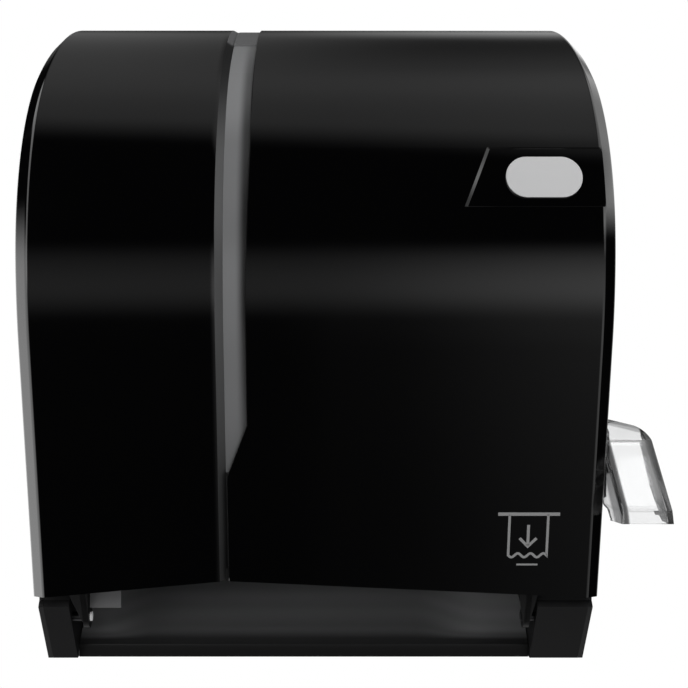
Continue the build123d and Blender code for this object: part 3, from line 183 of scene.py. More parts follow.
def merged_copy(node, name, body, material, bevel):
    """A copy of a node with its points merged, flat faces joined and its edges rounded."""
    mesh = nodes[node].data.copy()
    mesh.name = name
    mesh.materials.clear()
    mesh.materials.append(material)
    piece = new_object(name, mesh)
    shape = bmesh.new()
    shape.from_mesh(mesh)
    bmesh.ops.remove_doubles(shape, verts=shape.verts, dist=DOUBLED / 2)
    bmesh.ops.dissolve_limit(shape, angle_limit=math.radians(FLAT_ANGLE), verts=shape.verts,
                             edges=shape.edges)
    bmesh.ops.recalc_face_normals(shape, faces=shape.faces)
    shape.to_mesh(mesh)
    shape.free()
    for face in mesh.polygons:
        face.material_index = 0
    shade(mesh, COPY_CREASE)
    if bevel:
        soften(piece, bevel)
    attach(piece, body)
    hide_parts(node)
    return piece


def soften(piece, width):
    """Rounds a piece's sharp edges by a width in millimetres."""
    rounding = piece.modifiers.new("rounding", "BEVEL")
    rounding.width, rounding.segments = width * MM, 3
    rounding.limit_method, rounding.angle_limit = "ANGLE", math.radians(SHARP_ANGLE)
    rounding.use_clamp_overlap = True


# ------------------------ node helpers
def socket(value, target):
    """Links a socket to a target, or sets the target's value."""
    if isinstance(value, bpy.types.NodeSocket):
        target.id_data.links.new(value, target)
    else:
        target.default_value = value


def feed(node, **values):
    """Links or sets a node's inputs by name, with _ for a space."""
    for name, value in values.items():
        socket(value, node.inputs[name.replace("_", " ")])


def math_node(tree, operation, a, b=0.0):
    node = tree.nodes.new("ShaderNodeMath")
    node.operation = operation
    socket(a, node.inputs[0])
    socket(b, node.inputs[1])
    return node.outputs[0]


def times(tree, *factors):
    return functools.reduce(lambda a, b: math_node(tree, "MULTIPLY", a, b), factors)


def total(tree, *terms):
    return functools.reduce(lambda a, b: math_node(tree, "ADD", a, b), terms)


def rest_of(tree, share):
    """What a share leaves of 1."""
    return math_node(tree, "SUBTRACT", 1.0, share)


def map_range(tree, value, start, end, low=0.0, high=1.0, interpolation="LINEAR"):
    """Evenly from low at start to high at end, unless the interpolation says otherwise."""
    node = tree.nodes.new("ShaderNodeMapRange")
    node.interpolation_type = interpolation
    feed(node, From_Min=start, From_Max=end, To_Min=low, To_Max=high, Value=value)
    return node.outputs["Result"]


def smooth_step(tree, value, start, end, low=0.0, high=1.0):
    """Smoothly from low at start to high at end, and held beyond them."""
    return map_range(tree, value, start, end, low, high, "SMOOTHSTEP")


def noise(tree, vector, scale, detail=2.0, roughness=0.5):
    node = tree.nodes.new("ShaderNodeTexNoise")
    feed(node, Vector=vector, Scale=scale, Detail=detail, Roughness=roughness)
    return node.outputs["Fac"]


GREEN_CAST, BLUE_CAST = 1.01, 1.03  # the greys are faintly cool


def height_ramp(tree, height, stops):
    """A grey that changes with height, from (height, grey) stops in order."""
    low, high = stops[0][0], stops[-1][0]
    ramp = tree.nodes.new("ShaderNodeValToRGB")
    ramp.color_ramp.interpolation = "EASE"
    marks = ramp.color_ramp.elements
    while len(marks) < len(stops):
        marks.new(0.5)
    for mark, (at, grey) in zip(marks, stops):
        mark.position = (at - low) / (high - low)
        mark.color = (grey, grey * GREEN_CAST, grey * BLUE_CAST, 1.0)
    feed(ramp, Fac=map_range(tree, height, low, high))
    return ramp.outputs["Color"]


def object_axes(tree):
    """Object coordinates, as a vector and as its X, Y and Z."""
    place = tree.nodes.new("ShaderNodeTexCoord").outputs["Object"]
    axes = tree.nodes.new("ShaderNodeSeparateXYZ")
    socket(place, axes.inputs[0])
    return place, *axes.outputs


def blend_colour(tree, factor, first, second):
    node = tree.nodes.new("ShaderNodeMix")
    node.data_type = "RGBA"
    for value, place in ((factor, 0), (first, 6), (second, 7)):
        socket(value, node.inputs[place])
    return node.outputs[2]


# ------------------------ shared shader groups
FLOAT = "NodeSocketFloat"


def new_group(name, inputs, outputs):
    group = bpy.data.node_groups.new(name, "ShaderNodeTree")
    for title, kind, default in inputs:
        made = group.interface.new_socket(title, in_out="INPUT", socket_type=kind)
        made.default_value = default
    for title, kind in outputs:
        group.interface.new_socket(title, in_out="OUTPUT", socket_type=kind)
    return group, group.nodes.new("NodeGroupInput"), group.nodes.new("NodeGroupOutput")


def wander(group, given, pattern):
    """The given roughness, moved up and down over its spread by a pattern of 0 to 1."""
    shift = times(group, math_node(group, "SUBTRACT", pattern, 0.5), given.outputs["Spread"])
    return total(group, given.outputs["Roughness"], shift)


def build_moulded_grain():
    """The fine spark texture of a moulded surface: a height for a bump, and a roughness that wanders."""
    group, given, result = new_group(
        "moulded_grain",
        (("Scale", FLOAT, 2500.0), ("Roughness", FLOAT, 0.5), ("Spread", FLOAT, 0.06)),
        (("Height", FLOAT), ("Roughness", FLOAT)))
    place = group.nodes.new("ShaderNodeTexCoord").outputs["Object"]
    fine = noise(group, place, given.outputs["Scale"])
    feed(result, Height=fine, Roughness=wander(group, given, noise(group, place, 60.0, 3.0)))
    return group


def build_soft_dust():
    """Faint dust on faces that look up: a mask from the surface's tilt, broken up by noise."""
    group, given, result = new_group(
        "soft_dust", (("Amount", FLOAT, 0.1),), (("Mask", FLOAT),))
    geometry = group.nodes.new("ShaderNodeNewGeometry")
    tilt = group.nodes.new("ShaderNodeSeparateXYZ")
    socket(geometry.outputs["Normal"], tilt.inputs[0])
    upward = smooth_step(group, tilt.outputs["Z"], 0.3, 1.0)
    place = group.nodes.new("ShaderNodeTexCoord").outputs["Object"]
    patches = smooth_step(group, noise(group, place, 90.0, 5.0, 0.6), 0.35, 0.75)
    feed(result, Mask=times(group, upward, patches, given.outputs["Amount"]))
    return group


def build_drawn_lines():
    """Fine parallel lines of brushed or drawn metal: noise stretched along one axis."""
    group, given, result = new_group(
        "drawn_lines",
        (("Stretch", "NodeSocketVector", (20.0, 2500.0, 2500.0)), ("Roughness", FLOAT, 0.3),
         ("Spread", FLOAT, 0.2)),
        (("Height", FLOAT), ("Roughness", FLOAT)))
    place = group.nodes.new("ShaderNodeTexCoord").outputs["Object"]
    stretched = group.nodes.new("ShaderNodeVectorMath")
    stretched.operation = "MULTIPLY"
    socket(place, stretched.inputs[0])
    socket(given.outputs["Stretch"], stretched.inputs[1])
    drawn = noise(group, stretched.outputs[0], 1.0, 3.0)
    feed(result, Height=drawn, Roughness=wander(group, given, drawn))
    return group


GRAIN, DUST, LINES = build_moulded_grain(), build_soft_dust(), build_drawn_lines()


def use_group(tree, group, **values):
    node = tree.nodes.new("ShaderNodeGroup")
    node.node_tree = group
    feed(node, **values)
    return node


# ------------------------ finishes
def new_finish(name, slot, colour, **sockets):
    """An empty finish with its Principled shader; sockets are set by name, with _ for a space."""
    material = bpy.data.materials.new(name)
    material.use_nodes = True
    material["slot"] = slot
    tree = material.node_tree
    shader = tree.nodes["Principled BSDF"]
    feed(shader, Base_Color=(*colour, 1.0), **sockets)
    return material, tree, shader


def bump(tree, height, strength, distance, shader):
    """A bump of a distance in metres, from a height of 0 to 1."""
    node = tree.nodes.new("ShaderNodeBump")
    feed(node, Strength=strength, Distance=distance, Height=height)
    feed(shader, Normal=node.outputs["Normal"])


def grain(tree, shader, roughness, scale=2500.0, strength=0.08):
    """Gives a shader the moulded grain: its roughness, and a bump 0.06 mm deep at full strength."""
    grained = use_group(tree, GRAIN, Scale=scale, Roughness=roughness, Spread=0.08)
    feed(shader, Roughness=grained.outputs["Roughness"])
    bump(tree, grained.outputs["Height"], strength, 0.06 * MM, shader)


def lines(tree, shader, roughness, stretch, spread, strength):
    """Gives a shader drawn lines: their roughness, and a bump 0.04 mm deep at full strength."""
    lined = use_group(tree, LINES, Stretch=stretch, Roughness=roughness, Spread=spread)
    feed(shader, Roughness=lined.outputs["Roughness"])
    bump(tree, lined.outputs["Height"], strength, 0.04 * MM, shader)


def moulded(name, slot, colour, roughness, dust=0.05, scale=2500.0, strength=0.08, **sockets):
    """Moulded plastic or rubber: a fine grain, with a trace of dust on what looks up."""
    material, tree, shader = new_finish(name, slot, colour, **sockets)
    grain(tree, shader, roughness, scale, strength)
    dusty = use_group(tree, DUST, Amount=dust)
    dust_colour = tuple(min(1.0, c * 0.5 + 0.12) for c in colour) + (1.0,)
    feed(shader, Base_Color=blend_colour(tree, dusty.outputs["Mask"], (*colour, 1.0), dust_colour))
    return material


def drawn_metal(name, slot, colour, roughness, stretch, spread=0.15, strength=0.05):
    """Brushed, drawn or turned metal, with its lines along the least stretched axis."""
    material, tree, shader = new_finish(name, slot, colour, Metallic=1.0)
    lines(tree, shader, roughness, stretch, spread, strength)
    return material


GLOSS_BLACK = (0.0006, 0.0006, 0.0007)
GLOSS_ROUGHNESS, SATIN_ROUGHNESS = (0.085, 0.115), 0.34  # the satin's is added to the gloss's
SATIN_REAR = (RECESS_REAR_Y + 1.0, RECESS_REAR_Y - 1.0)  # the satin fades in between these depths
# painted light and shade on the slope beside the window: greys by height, as (height in metres, grey)
SLOPE_LIGHT_AND_SHADE_GREYS = ((-0.14, 0.007), (-0.1, 0.012), (-0.06, 0.02), (0.0, 0.03), (0.075, 0.03), (0.12, 0.01),
               (0.15, 0.006))
SLOPE_END_GREY = (0.08, 0.08, 0.082)
DULL_HIGH, DULL_LOW = (0.075, 0.13, 0.0, 0.42), (-0.04, -0.1, 0.0, 0.3)  # heights, and the sheen lost at them
PLASTIC_SHEEN = 0.5
END_BLOCK_Y = -137.0  # the window is solid behind this depth


def cover_gloss():
    """Piano-black moulding with a barely wavy face. Beside the window the slope and groove are satin, and
    duller towards the top and the foot. Their grey is painted light and shade that changes with height, and
    behind the window's end it takes the end block's grey."""
    material, tree, shader = new_finish("cover_gloss", "cover_black", GLOSS_BLACK, IOR=1.5)
    place, x, y, z = object_axes(tree)
    satin = times(tree, smooth_step(tree, x, (RECESS_LEFT - 0.15) * MM, (RECESS_LEFT + 0.05) * MM),
                  smooth_step(tree, x, (GROOVE_RIGHT + 0.1) * MM, (GROOVE_RIGHT - 0.1) * MM),
                  smooth_step(tree, y, SATIN_REAR[0] * MM, SATIN_REAR[1] * MM))
    haze = smooth_step(tree, noise(tree, place, 14.0, 4.0, 0.55), 0.3, 0.8, *GLOSS_ROUGHNESS)
    feed(shader, Roughness=total(tree, haze, times(tree, satin, SATIN_ROUGHNESS)))
    # painted light and shade: the slope's grey by height, and the end block's grey behind the window's end
    slope = blend_colour(tree, smooth_step(tree, y, (END_BLOCK_Y - 3) * MM, (END_BLOCK_Y + 3) * MM),
                         height_ramp(tree, z, SLOPE_LIGHT_AND_SHADE_GREYS), (*SLOPE_END_GREY, 1))
    dull = total(tree, smooth_step(tree, z, *DULL_HIGH), smooth_step(tree, z, *DULL_LOW))
    feed(shader, Base_Color=blend_colour(tree, satin, (*GLOSS_BLACK, 1), slope),
         Specular_IOR_Level=math_node(tree, "SUBTRACT", PLASTIC_SHEEN, times(tree, satin, dull)))
    bump(tree, noise(tree, place, 25.0, 1.0), 0.02, 0.3 * MM, shader)
    return material


# painted light: the lit roll behind the pane, as greys by height (height in metres, grey)
PANE_PAINTED_LIGHT_GREYS = ((-0.08, 0.11), (-0.045, 0.142), (0.02, 0.152), (0.04, 0.13), (0.083, 0.136), (0.105, 0.172),
              (0.13, 0.18))
# painted shade of a wall behind the pane's right edge, as greys by height
WALL_PAINTED_SHADE_GREYS = ((-0.06, 0.06), (-0.02, 0.03), (0.0, 0.008), (0.05, 0.008), (0.09, 0.025), (0.12, 0.06),
              (0.16, 0.12))
WALL_SHADE_SIDE = (-40.2, -35.2)  # the painted shade of a wall comes in between these widths
END_BLOCK_GREY = (0.095, 0.096, 0.098)


def smoked_window():
    """Smoke-tinted window with a satin inside. The pale roll behind it is painted in as a lighter grey, with
    painted light that changes with height, the shade of a wall on its right as a painted darker band, and the
    solid block at its rear end as a darker grey."""
    material, tree, shader = new_finish("smoked_window", "window_smoke", (0.17, 0.173, 0.178),
                                        Transmission_Weight=0.15, IOR=1.45)
    place, x, y, z = object_axes(tree)
    # painted shade: a darker band towards the pane's right edge
    painted_wall_shade = smooth_step(tree, x, WALL_SHADE_SIDE[0] * MM, WALL_SHADE_SIDE[1] * MM)
    pane = blend_colour(tree, painted_wall_shade, height_ramp(tree, z, PANE_PAINTED_LIGHT_GREYS), height_ramp(tree, z, WALL_PAINTED_SHADE_GREYS))
    block = smooth_step(tree, y, (END_BLOCK_Y - 0.4) * MM, (END_BLOCK_Y + 0.2) * MM)
    feed(shader, Base_Color=blend_colour(tree, block, pane, (*END_BLOCK_GREY, 1)),
         Roughness=smooth_step(tree, noise(tree, place, 40.0, 3.0), 0.3, 0.8, 0.34, 0.42))
    bump(tree, noise(tree, place, 1800.0, 2.0), 0.05, 0.05 * MM, shader)
    return material


def badge_satin():
    """Satin silver lacquer on the badge's domed plate, with fine lines across it."""
    material, tree, shader = new_finish("badge_satin", "badge_silver", (0.54, 0.54, 0.545), Metallic=0.35)
    lines(tree, shader, 0.4, (30.0, 1500.0, 2500.0), 0.1, 0.05)
    return material


# painted light on the chute: greys by height, as (height in metres, grey)
CHUTE_PAINTED_LIGHT_GREYS = ((-0.1845, 0.004), (-0.18, 0.012), (-0.1745, 0.06), (-0.1665, 0.14), (-0.16, 0.26),
               (-0.152, 0.5))
CHUTE_END_LIGHT_DROP = 7.5  # how much lower the painted light's greys lie at the two ends, so the ends are paler
CHUTE_ENDS = ((55.0, 95.0), (-90.0, -120.0))  # widths between which the right and the left end begin
CHUTE_LIP, CHUTE_SHEEN = (-0.181, -0.175), (-0.182, -0.172, 0.12, 0.4)  # heights, and the sheen at them


def chute_satin():
    """The chute's moulding, with painted light: paler upwards from the lip, and paler still towards its ends.
    """
    material, tree, shader = new_finish("chute_satin", "housing_black", (0.02, 0.0205, 0.021))
    _, x, _, z = object_axes(tree)
    ends = total(tree, *(smooth_step(tree, x, start * MM, end * MM, 0.0, CHUTE_END_LIGHT_DROP * MM)
                         for start, end in CHUTE_ENDS))
    # painted light: towards both ends, above the lip, the greys are taken from higher up
    painted_light_height = total(tree, z, times(tree, ends, smooth_step(tree, z, *CHUTE_LIP)))
    feed(shader, Base_Color=height_ramp(tree, painted_light_height, CHUTE_PAINTED_LIGHT_GREYS),
         Specular_IOR_Level=smooth_step(tree, z, *CHUTE_SHEEN))
    grain(tree, shader, 0.42)
    return material


def edge_band(tree, x, z, first, second, width):
    """1 within a width of the line from first to second in front view, falling to 0 just beyond it."""
    length = math.dist(first, second)
    across = ((second[1] - first[1]) / length, (first[0] - second[0]) / length)
    shift = -(across[0] * first[0] + across[1] * first[1])
    away = total(tree, times(tree, x, across[0]), times(tree, z, across[1]), shift * MM)
    return smooth_step(tree, math_node(tree, "ABSOLUTE", away), (width + 0.7) * MM, (width - 0.3) * MM)


LEVER_CLEAR, LEVER_SHADE = (0.93, 0.935, 0.94), (0.03, 0.03, 0.031)
LEVER_PAINTED_SHADE_LINES = (  # painted shade bands, placed for the front view: start and end of each (X, Z), half its width, and how much of the shade it takes
    ((150.0, -54.7), (177.0, -61.2), 2.8, 0.66), ((177.0, -61.2), (183.0, -108.0), 2.2, 0.66),
    ((153.2, -62.0), (158.6, -108.0), 1.7, 0.93), ((181.0, -96.0), (183.0, -110.0), 2.4, 0.85),
    ((150.0, -101.0), (190.0, -101.0), 0.7, 0.25))


def clear_lever():
    """Clear acrylic with the faintest haze from handling. Where the light runs along a wall, at the top, at
    both sides and at the fold of the lip, it looks grey: these are painted shade bands, placed for the front
    view."""
    material, tree, shader = new_finish("clear_lever", "lever_clear", LEVER_CLEAR,
                                        Transmission_Weight=0.92, IOR=1.42)
    place, x, _, z = object_axes(tree)
    painted_lever_shade = 0.0
    # painted shade along the lever's walls
    for *line, strength in LEVER_PAINTED_SHADE_LINES:
        painted_lever_shade = math_node(tree, "MAXIMUM", times(tree, edge_band(tree, x, z, *line), strength), painted_lever_shade)
    feed(shader, Base_Color=blend_colour(tree, painted_lever_shade, (*LEVER_CLEAR, 1), (*LEVER_SHADE, 1)),
         Roughness=smooth_step(tree, noise(tree, place, 60.0, 4.0, 0.6), 0.35, 0.8, 0.03, 0.1))
    return material


PIN_DULL, PIN_PAINTED_GLINT = (0.05, 0.05, 0.052), (0.95, 0.95, 0.95)
PIN_END, PIN_END_HALF = 121.5, (2.8, 2.2)  # middle of the left pin's free end, and where its painted glint fades


def pin_steel():
    """The hinge pins: a painted glint, white and not metallic, where the left pin's end stands free of the
    ear, dull and dark elsewhere.
    """
    material = drawn_metal("hinge_pin_steel", "steel", PIN_DULL, 0.35, (2400.0, 200.0, 200.0))
    tree = material.node_tree
    shader = tree.nodes["Principled BSDF"]
    _, x, _, _ = object_axes(tree)
    from_end = math_node(tree, "ABSOLUTE", total(tree, x, PIN_END * MM))
    # painted glint at the left pin's free end
    painted_glint = smooth_step(tree, from_end, *(half * MM for half in PIN_END_HALF))
    feed(shader, Base_Color=blend_colour(tree, painted_glint, (*PIN_DULL, 1), (*PIN_PAINTED_GLINT, 1)),
         Metallic=rest_of(tree, painted_glint))
    return material


FINISH = {
    "cover": cover_gloss(),
    "window": smoked_window(),
    "lever": clear_lever(),
    "cover_inside": moulded("cover_inside", "cover_black", (0.003, 0.003, 0.0032), 0.45, 0.02,
                            Specular_IOR_Level=0.2),
    "badge": badge_satin(),
    "mark": moulded("printed_grey", "badge_silver", (0.2, 0.2, 0.2), 0.5, 0.0),
    "housing": moulded("housing_black", "housing_black", (0.0075, 0.0075, 0.0078), 0.45,
                       Specular_IOR_Level=0.05),
    "back": moulded("back_charcoal", "housing_black", (0.014, 0.014, 0.0145), 0.5, Specular_IOR_Level=0.25),
    "chute": chute_satin(),
    "frame": moulded("frame_charcoal", "frame_grey", (0.0045, 0.0045, 0.0048), 0.45,
                     Specular_IOR_Level=0.2),
    "guide": moulded("guide_grey", "guide_grey", (0.075, 0.075, 0.077), 0.42),
    "blade": drawn_metal("blade_steel", "steel", (0.56, 0.57, 0.58), 0.24, (25.0, 2200.0, 2200.0)),
    "shaft": drawn_metal("ground_steel", "steel", (0.58, 0.58, 0.59), 0.2, (2400.0, 200.0, 200.0)),
    "pin": pin_steel(),
    "screw": drawn_metal("zinc_screw", "zinc_screw", (0.5, 0.51, 0.53), 0.32, (700.0, 700.0, 700.0)),
    "spring": drawn_metal("spring_wire", "spring_steel", (0.42, 0.42, 0.44), 0.28, (900.0, 900.0, 900.0)),
    "chrome": drawn_metal("lock_chrome", "lock_chrome", (0.72, 0.73, 0.75), 0.12, (400.0, 400.0, 400.0),
                          0.04, 0.01),
    "brass": drawn_metal("turned_brass", "brass", (0.62, 0.44, 0.17), 0.3, (2000.0, 150.0, 150.0)),
    "gear": moulded("gear_acetal", "gear_white", (0.66, 0.655, 0.6), 0.38, Subsurface_Weight=0.05),
    "pinion": moulded("pinion_acetal", "gear_orange", (0.55, 0.2, 0.035), 0.38),
    "bush": moulded("bush_acetal", "bush_acetal", (0.48, 0.48, 0.43), 0.4),
    "roller": moulded("roller_core", "roller_grey", (0.1, 0.1, 0.104), 0.45),
    "arm": moulded("arm_grey", "roller_grey", (0.085, 0.087, 0.09), 0.42),
    "grip": moulded("grip_rubber", "grip_rubber", (0.02, 0.02, 0.02), 0.75, 0.12, 900.0, 0.3),
    "tyre": moulded("tyre_rubber", "tyre_rubber", (0.05, 0.05, 0.05), 0.7, 0.12, 900.0, 0.3),
    "stop": moulded("stop_rubber", "stop_rubber", (0.016, 0.016, 0.016), 0.72, 0.08, 1200.0, 0.25),
    "hub": moulded("hub_blue", "hub_blue", (0.03, 0.07, 0.17), 0.4),
}

NODE_FINISH = {
    "back": ("rear_frame",),
    "window": ("window_strip",),
    "badge": ("badge_plate",),
    "blade": ("tear_blade",),
    "pin": ("hinge_pins",),
    "shaft": ("idler_pin", "left_arm_pin", "lever_shaft", "lock_cam"),
    "screw": ("blade_screws", "guide_screws", "frame_screws", "gear_cover_screws", "side_cover_screws",
              "arm_screws", "cam_screw", "lever_screw", "left_hub_screw", "right_hub_screw"),
    "spring": ("pressure_springs", "arm_spring", "return_spring", "lock_clip", "feed_clips"),
    "chrome": ("lock_sleeve", "lock_barrel"),
    "brass": ("one_way_clutch",),
    "gear": ("sector_gear", "idler_gear"),
    "pinion": ("roller_pinion",),
    "bush": ("feed_bushes", "lever_bushes"),
    "roller": ("feed_roller", "pressure_roller"),
    "arm": ("left_roll_arm", "right_roll_arm"),
    "grip": ("grip_sleeves",),
    "tyre": ("pressure_tyres",),
    "stop": ("stop_buffers",),
    "hub": ("left_hub", "right_hub"),
}


def finish_nodes():
    """Gives each node that is shown as it is its own finish."""
    for finish, names in NODE_FINISH.items():
        for name in names:
            for place in nodes[name].material_slots:
                place.material = FINISH[finish]


# ------------------------ the cover's outline
def direction(angle):
    return np.cos(np.radians(angle)), np.sin(np.radians(angle))


def arc_chain():
    """Centre, radius, first angle and first run of each arc, one tangent to the next."""
    up = direction(90.0 + LEAN)
    angle = LEAN + 180.0
    point = (FOOT[0] + STRAIGHT * up[0], FOOT[1] + STRAIGHT * up[1])
    run, chain = STRAIGHT, []
    for radius, sweep in ARCS:
        normal = direction(angle)
        centre = (point[0] - radius * normal[0], point[1] - radius * normal[1])
        last = 90.0 if sweep is None else angle - sweep
        chain.append((centre, radius, angle, run))
        run += radius * math.radians(angle - last)
        normal = direction(last)
        point, angle = (centre[0] + radius * normal[0], centre[1] + radius * normal[1]), last
    return chain, run, point


CHAIN, LEVEL_RUN, LEVEL_START = arc_chain()
FULL_RUN = LEVEL_RUN - LEVEL_START[0]


def outline(run, offset):
    """(Y, Z) of the cover's side view at a run along it from the foot, moved outwards by an offset:
    the foot plus the run up the lean, then centre + (radius + offset) * normal on each arc, then level."""
    run, offset = np.broadcast_arrays(np.asarray(run, float), np.asarray(offset, float))
    up, out = direction(90.0 + LEAN), direction(180.0 + LEAN)
    y = FOOT[0] + run * up[0] + offset * out[0]
    z = FOOT[1] + run * up[1] + offset * out[1]
    for centre, radius, first, start in CHAIN:
        cosine, sine = direction(first - np.degrees((run - start) / radius))
        on_arc = run >= start
        y = np.where(on_arc, centre[0] + (radius + offset) * cosine, y)
        z = np.where(on_arc, centre[1] + (radius + offset) * sine, z)
    level = run >= LEVEL_RUN
    y = np.where(level, LEVEL_START[0] + run - LEVEL_RUN, y)
    z = np.where(level, LEVEL_START[1] + offset, z)
    return y, z


TABLE_RUN = np.linspace(-10, FULL_RUN, 6000)
UPPER_RUN = STRAIGHT + 60.0  # the foremost point is below this


def run_at_height(z):
    """Run at which the face is at a height Z."""
    return float(np.interp(z, outline(TABLE_RUN, FACE_OFFSET)[1], TABLE_RUN))


def run_at_depth(y):
    """Run at which the face's upper part is at a depth Y."""
    upper = TABLE_RUN > UPPER_RUN
    return float(np.interp(y, outline(TABLE_RUN, FACE_OFFSET)[0][upper], TABLE_RUN[upper]))


# ------------------------ the cover
def rounded_edge(corners, radius):
    """(x, offset) points along a bent line, each inner corner replaced by an arc of the radius. A point close
    to each end of an arc keeps the flats beside it flat."""
    corners = np.asarray(corners, dtype=float)
    points = [corners[:1]]
    for before, corner, after in zip(corners[:-2], corners[1:-1], corners[2:]):
        into, away = unit(before - corner), unit(after - corner)
        half = 0.5 * math.acos(float(np.clip(into @ away, -1, 1)))
        centre = corner + unit(into + away) * radius / math.sin(half)
        t = np.linspace(0, 1, EDGE_STEPS + 1)[:, None]
        spokes = (corner + into * radius / math.tan(half) - centre) * (1 - t)
        spokes = spokes + (corner + away * radius / math.tan(half) - centre) * t
        arc = centre + radius * unit(spokes)
        points += [arc[:1] + EDGE_HOLD * into, arc, arc[-1:] + EDGE_HOLD * away]
    return np.concatenate(points)


ROW_STEP = 2.2
LOW_RUN = 30.0  # below this run the rows fan out to the V-shaped edge
LOW_ROWS = 14
CRISP, BADGE_CRISP = 0.3, 0.5  # a pair of rows this close makes a crisp step
SLIVER = 0.01


def cover_rows():
    """Runs of the rows above the fan, with a pair of rows at each edge that runs across."""
    tip, low, glass = (run_at_height(z) for z in (RECESS_TIP, RECESS_LOW, GLASS_LOW_Z))
    badge_low, badge_high = run_at_height(BADGE_LOW[1]), run_at_height(BADGE_HIGH[1])
    glass_top, recess_end, pad_end = (run_at_depth(y) for y in (GLASS_TOP_Y, RECESS_REAR_Y, PAD_REAR_Y))
    marks = sorted([LOW_RUN, tip, low, glass, badge_low, badge_low + BADGE_CRISP, badge_high - BADGE_CRISP,
                    badge_high, glass_top, recess_end, recess_end + CRISP, pad_end, pad_end + CRISP,
                    LEVEL_RUN, FULL_RUN, *(start for *_, start in CHAIN)])
    rows = [np.array([marks[0]])]
    for start, end in zip(marks[:-1], marks[1:]):
        steps = max(1, round((end - start) / ROW_STEP))
        rows.append(np.linspace(start, end, steps + 1)[1:])
    return np.concatenate(rows), dict(glass=glass, glass_top=glass_top, recess_end=recess_end,
                                      pad_end=pad_end, badge_low=badge_low, badge_high=badge_high)


BESIDE = 0.2  # a column this close keeps the wall beside an edge flat
LIP_OUT, LIP_IN, LIP_DROP = 0.25, 0.15, 0.15  # the recess's left lip
SLOPE_END, RIGHT_END_IN = (0.23, 0.25), 0.02  # the slope's foot and the floor's start, and the recess's right
LAST_COLUMN = 137.0
LEFT_COLUMNS = (-LAST_COLUMN, -120.0, -100.0, -80.0, -62.0, PAD_LEFT - BESIDE)
GLASS_COLUMN = 11  # columns of the face before the opening for the window


def face_columns(run, marks):
    """Face columns for a row's run, as (x, outer offset, inner offset): left panel, recess or groove, right
    panel, badge panel. Boundaries that lean, such as the recess's tip, move with the run."""
    height = outline(run, FACE_OFFSET)[1]
    right = np.interp(height, (RECESS_TIP, RECESS_LOW, FLARE_LOW, FLARE_HIGH),
                      (GROOVE_RIGHT, RECESS_RIGHT, RECESS_RIGHT, RECESS_RIGHT + RECESS_FLARE))
    slant = np.interp(height, (BADGE_LOW[1], BADGE_HIGH[1]), (BADGE_LOW[0], BADGE_HIGH[0]))
    recessed = run <= marks["recess_end"] + SLIVER
    padded = (height > PAD_LOW_Z) & (run <= marks["pad_end"] + SLIVER)
    on_badge = (run > marks["badge_low"] + BESIDE) & (run < marks["badge_high"] - BESIDE)
    floor = np.where(recessed, RECESS_FLOOR, FACE_OFFSET)
    beside_glass = height > RECESS_TIP + 2
    pad = np.where(padded, RECESS_PAD, INNER_FACE_OFFSET)
    badge = np.where(on_badge, BADGE_OFFSET, FACE_OFFSET)
    flat = np.full_like(run, FACE_OFFSET)
    inside = np.full_like(run, INNER_FACE_OFFSET)
    ledge = np.minimum(GLASS_LEDGE, (right - RECESS_FLOOR_X) / 3)
    glass_right = np.minimum(right, RECESS_RIGHT) - ledge
    columns = [(x, flat, inside) for x in LEFT_COLUMNS]
    columns += [(PAD_LEFT, flat, pad), (RECESS_LEFT - LIP_OUT, flat, pad),
                (RECESS_LEFT + LIP_IN, np.where(recessed, FACE_OFFSET - LIP_DROP, flat), pad),
                (RECESS_FLOOR_X + SLOPE_END[0], np.where(recessed & beside_glass, SLOPE_FOOT, floor), pad),
                (RECESS_FLOOR_X + SLOPE_END[1], floor, pad), (RECESS_FLOOR_X + ledge, floor, pad),
                (glass_right, floor, pad), (right - RIGHT_END_IN, floor, pad),
                (right, np.where(recessed, FACE_OFFSET - BESIDE, flat), pad), (right + BESIDE, flat, pad),
                (PAD_RIGHT - BESIDE, flat, pad), (PAD_RIGHT, flat, inside)]
    columns += [(PAD_RIGHT + (slant - PAD_RIGHT) * t, flat, inside) for t in (0.2, 0.4, 0.6, 0.8, 1.0)]
    start = slant + BADGE_BEVEL
    columns += [(start + (LAST_COLUMN - start) * t, badge, inside) for t in (0.0, 0.25, 0.5, 0.75, 1.0)]
    return columns, on_badge


def cut_height(x):
    """Height of the cover's lower edge: a shallow V across the face, and on to the foot across the strips."""
    edge_x, edge_z = np.array(V_EDGE).T
    strip = np.interp(np.abs(x), (FACE_HALF, COVER_HALF), (edge_z[0], FOOT[1]))
    return np.where(np.abs(x) > FACE_HALF, strip, np.interp(x, edge_x, edge_z))


SIDE_STEPS = (0.0, 0.3, 0.6, 0.85)  # columns of a side wall, as shares of the way from its rear edge


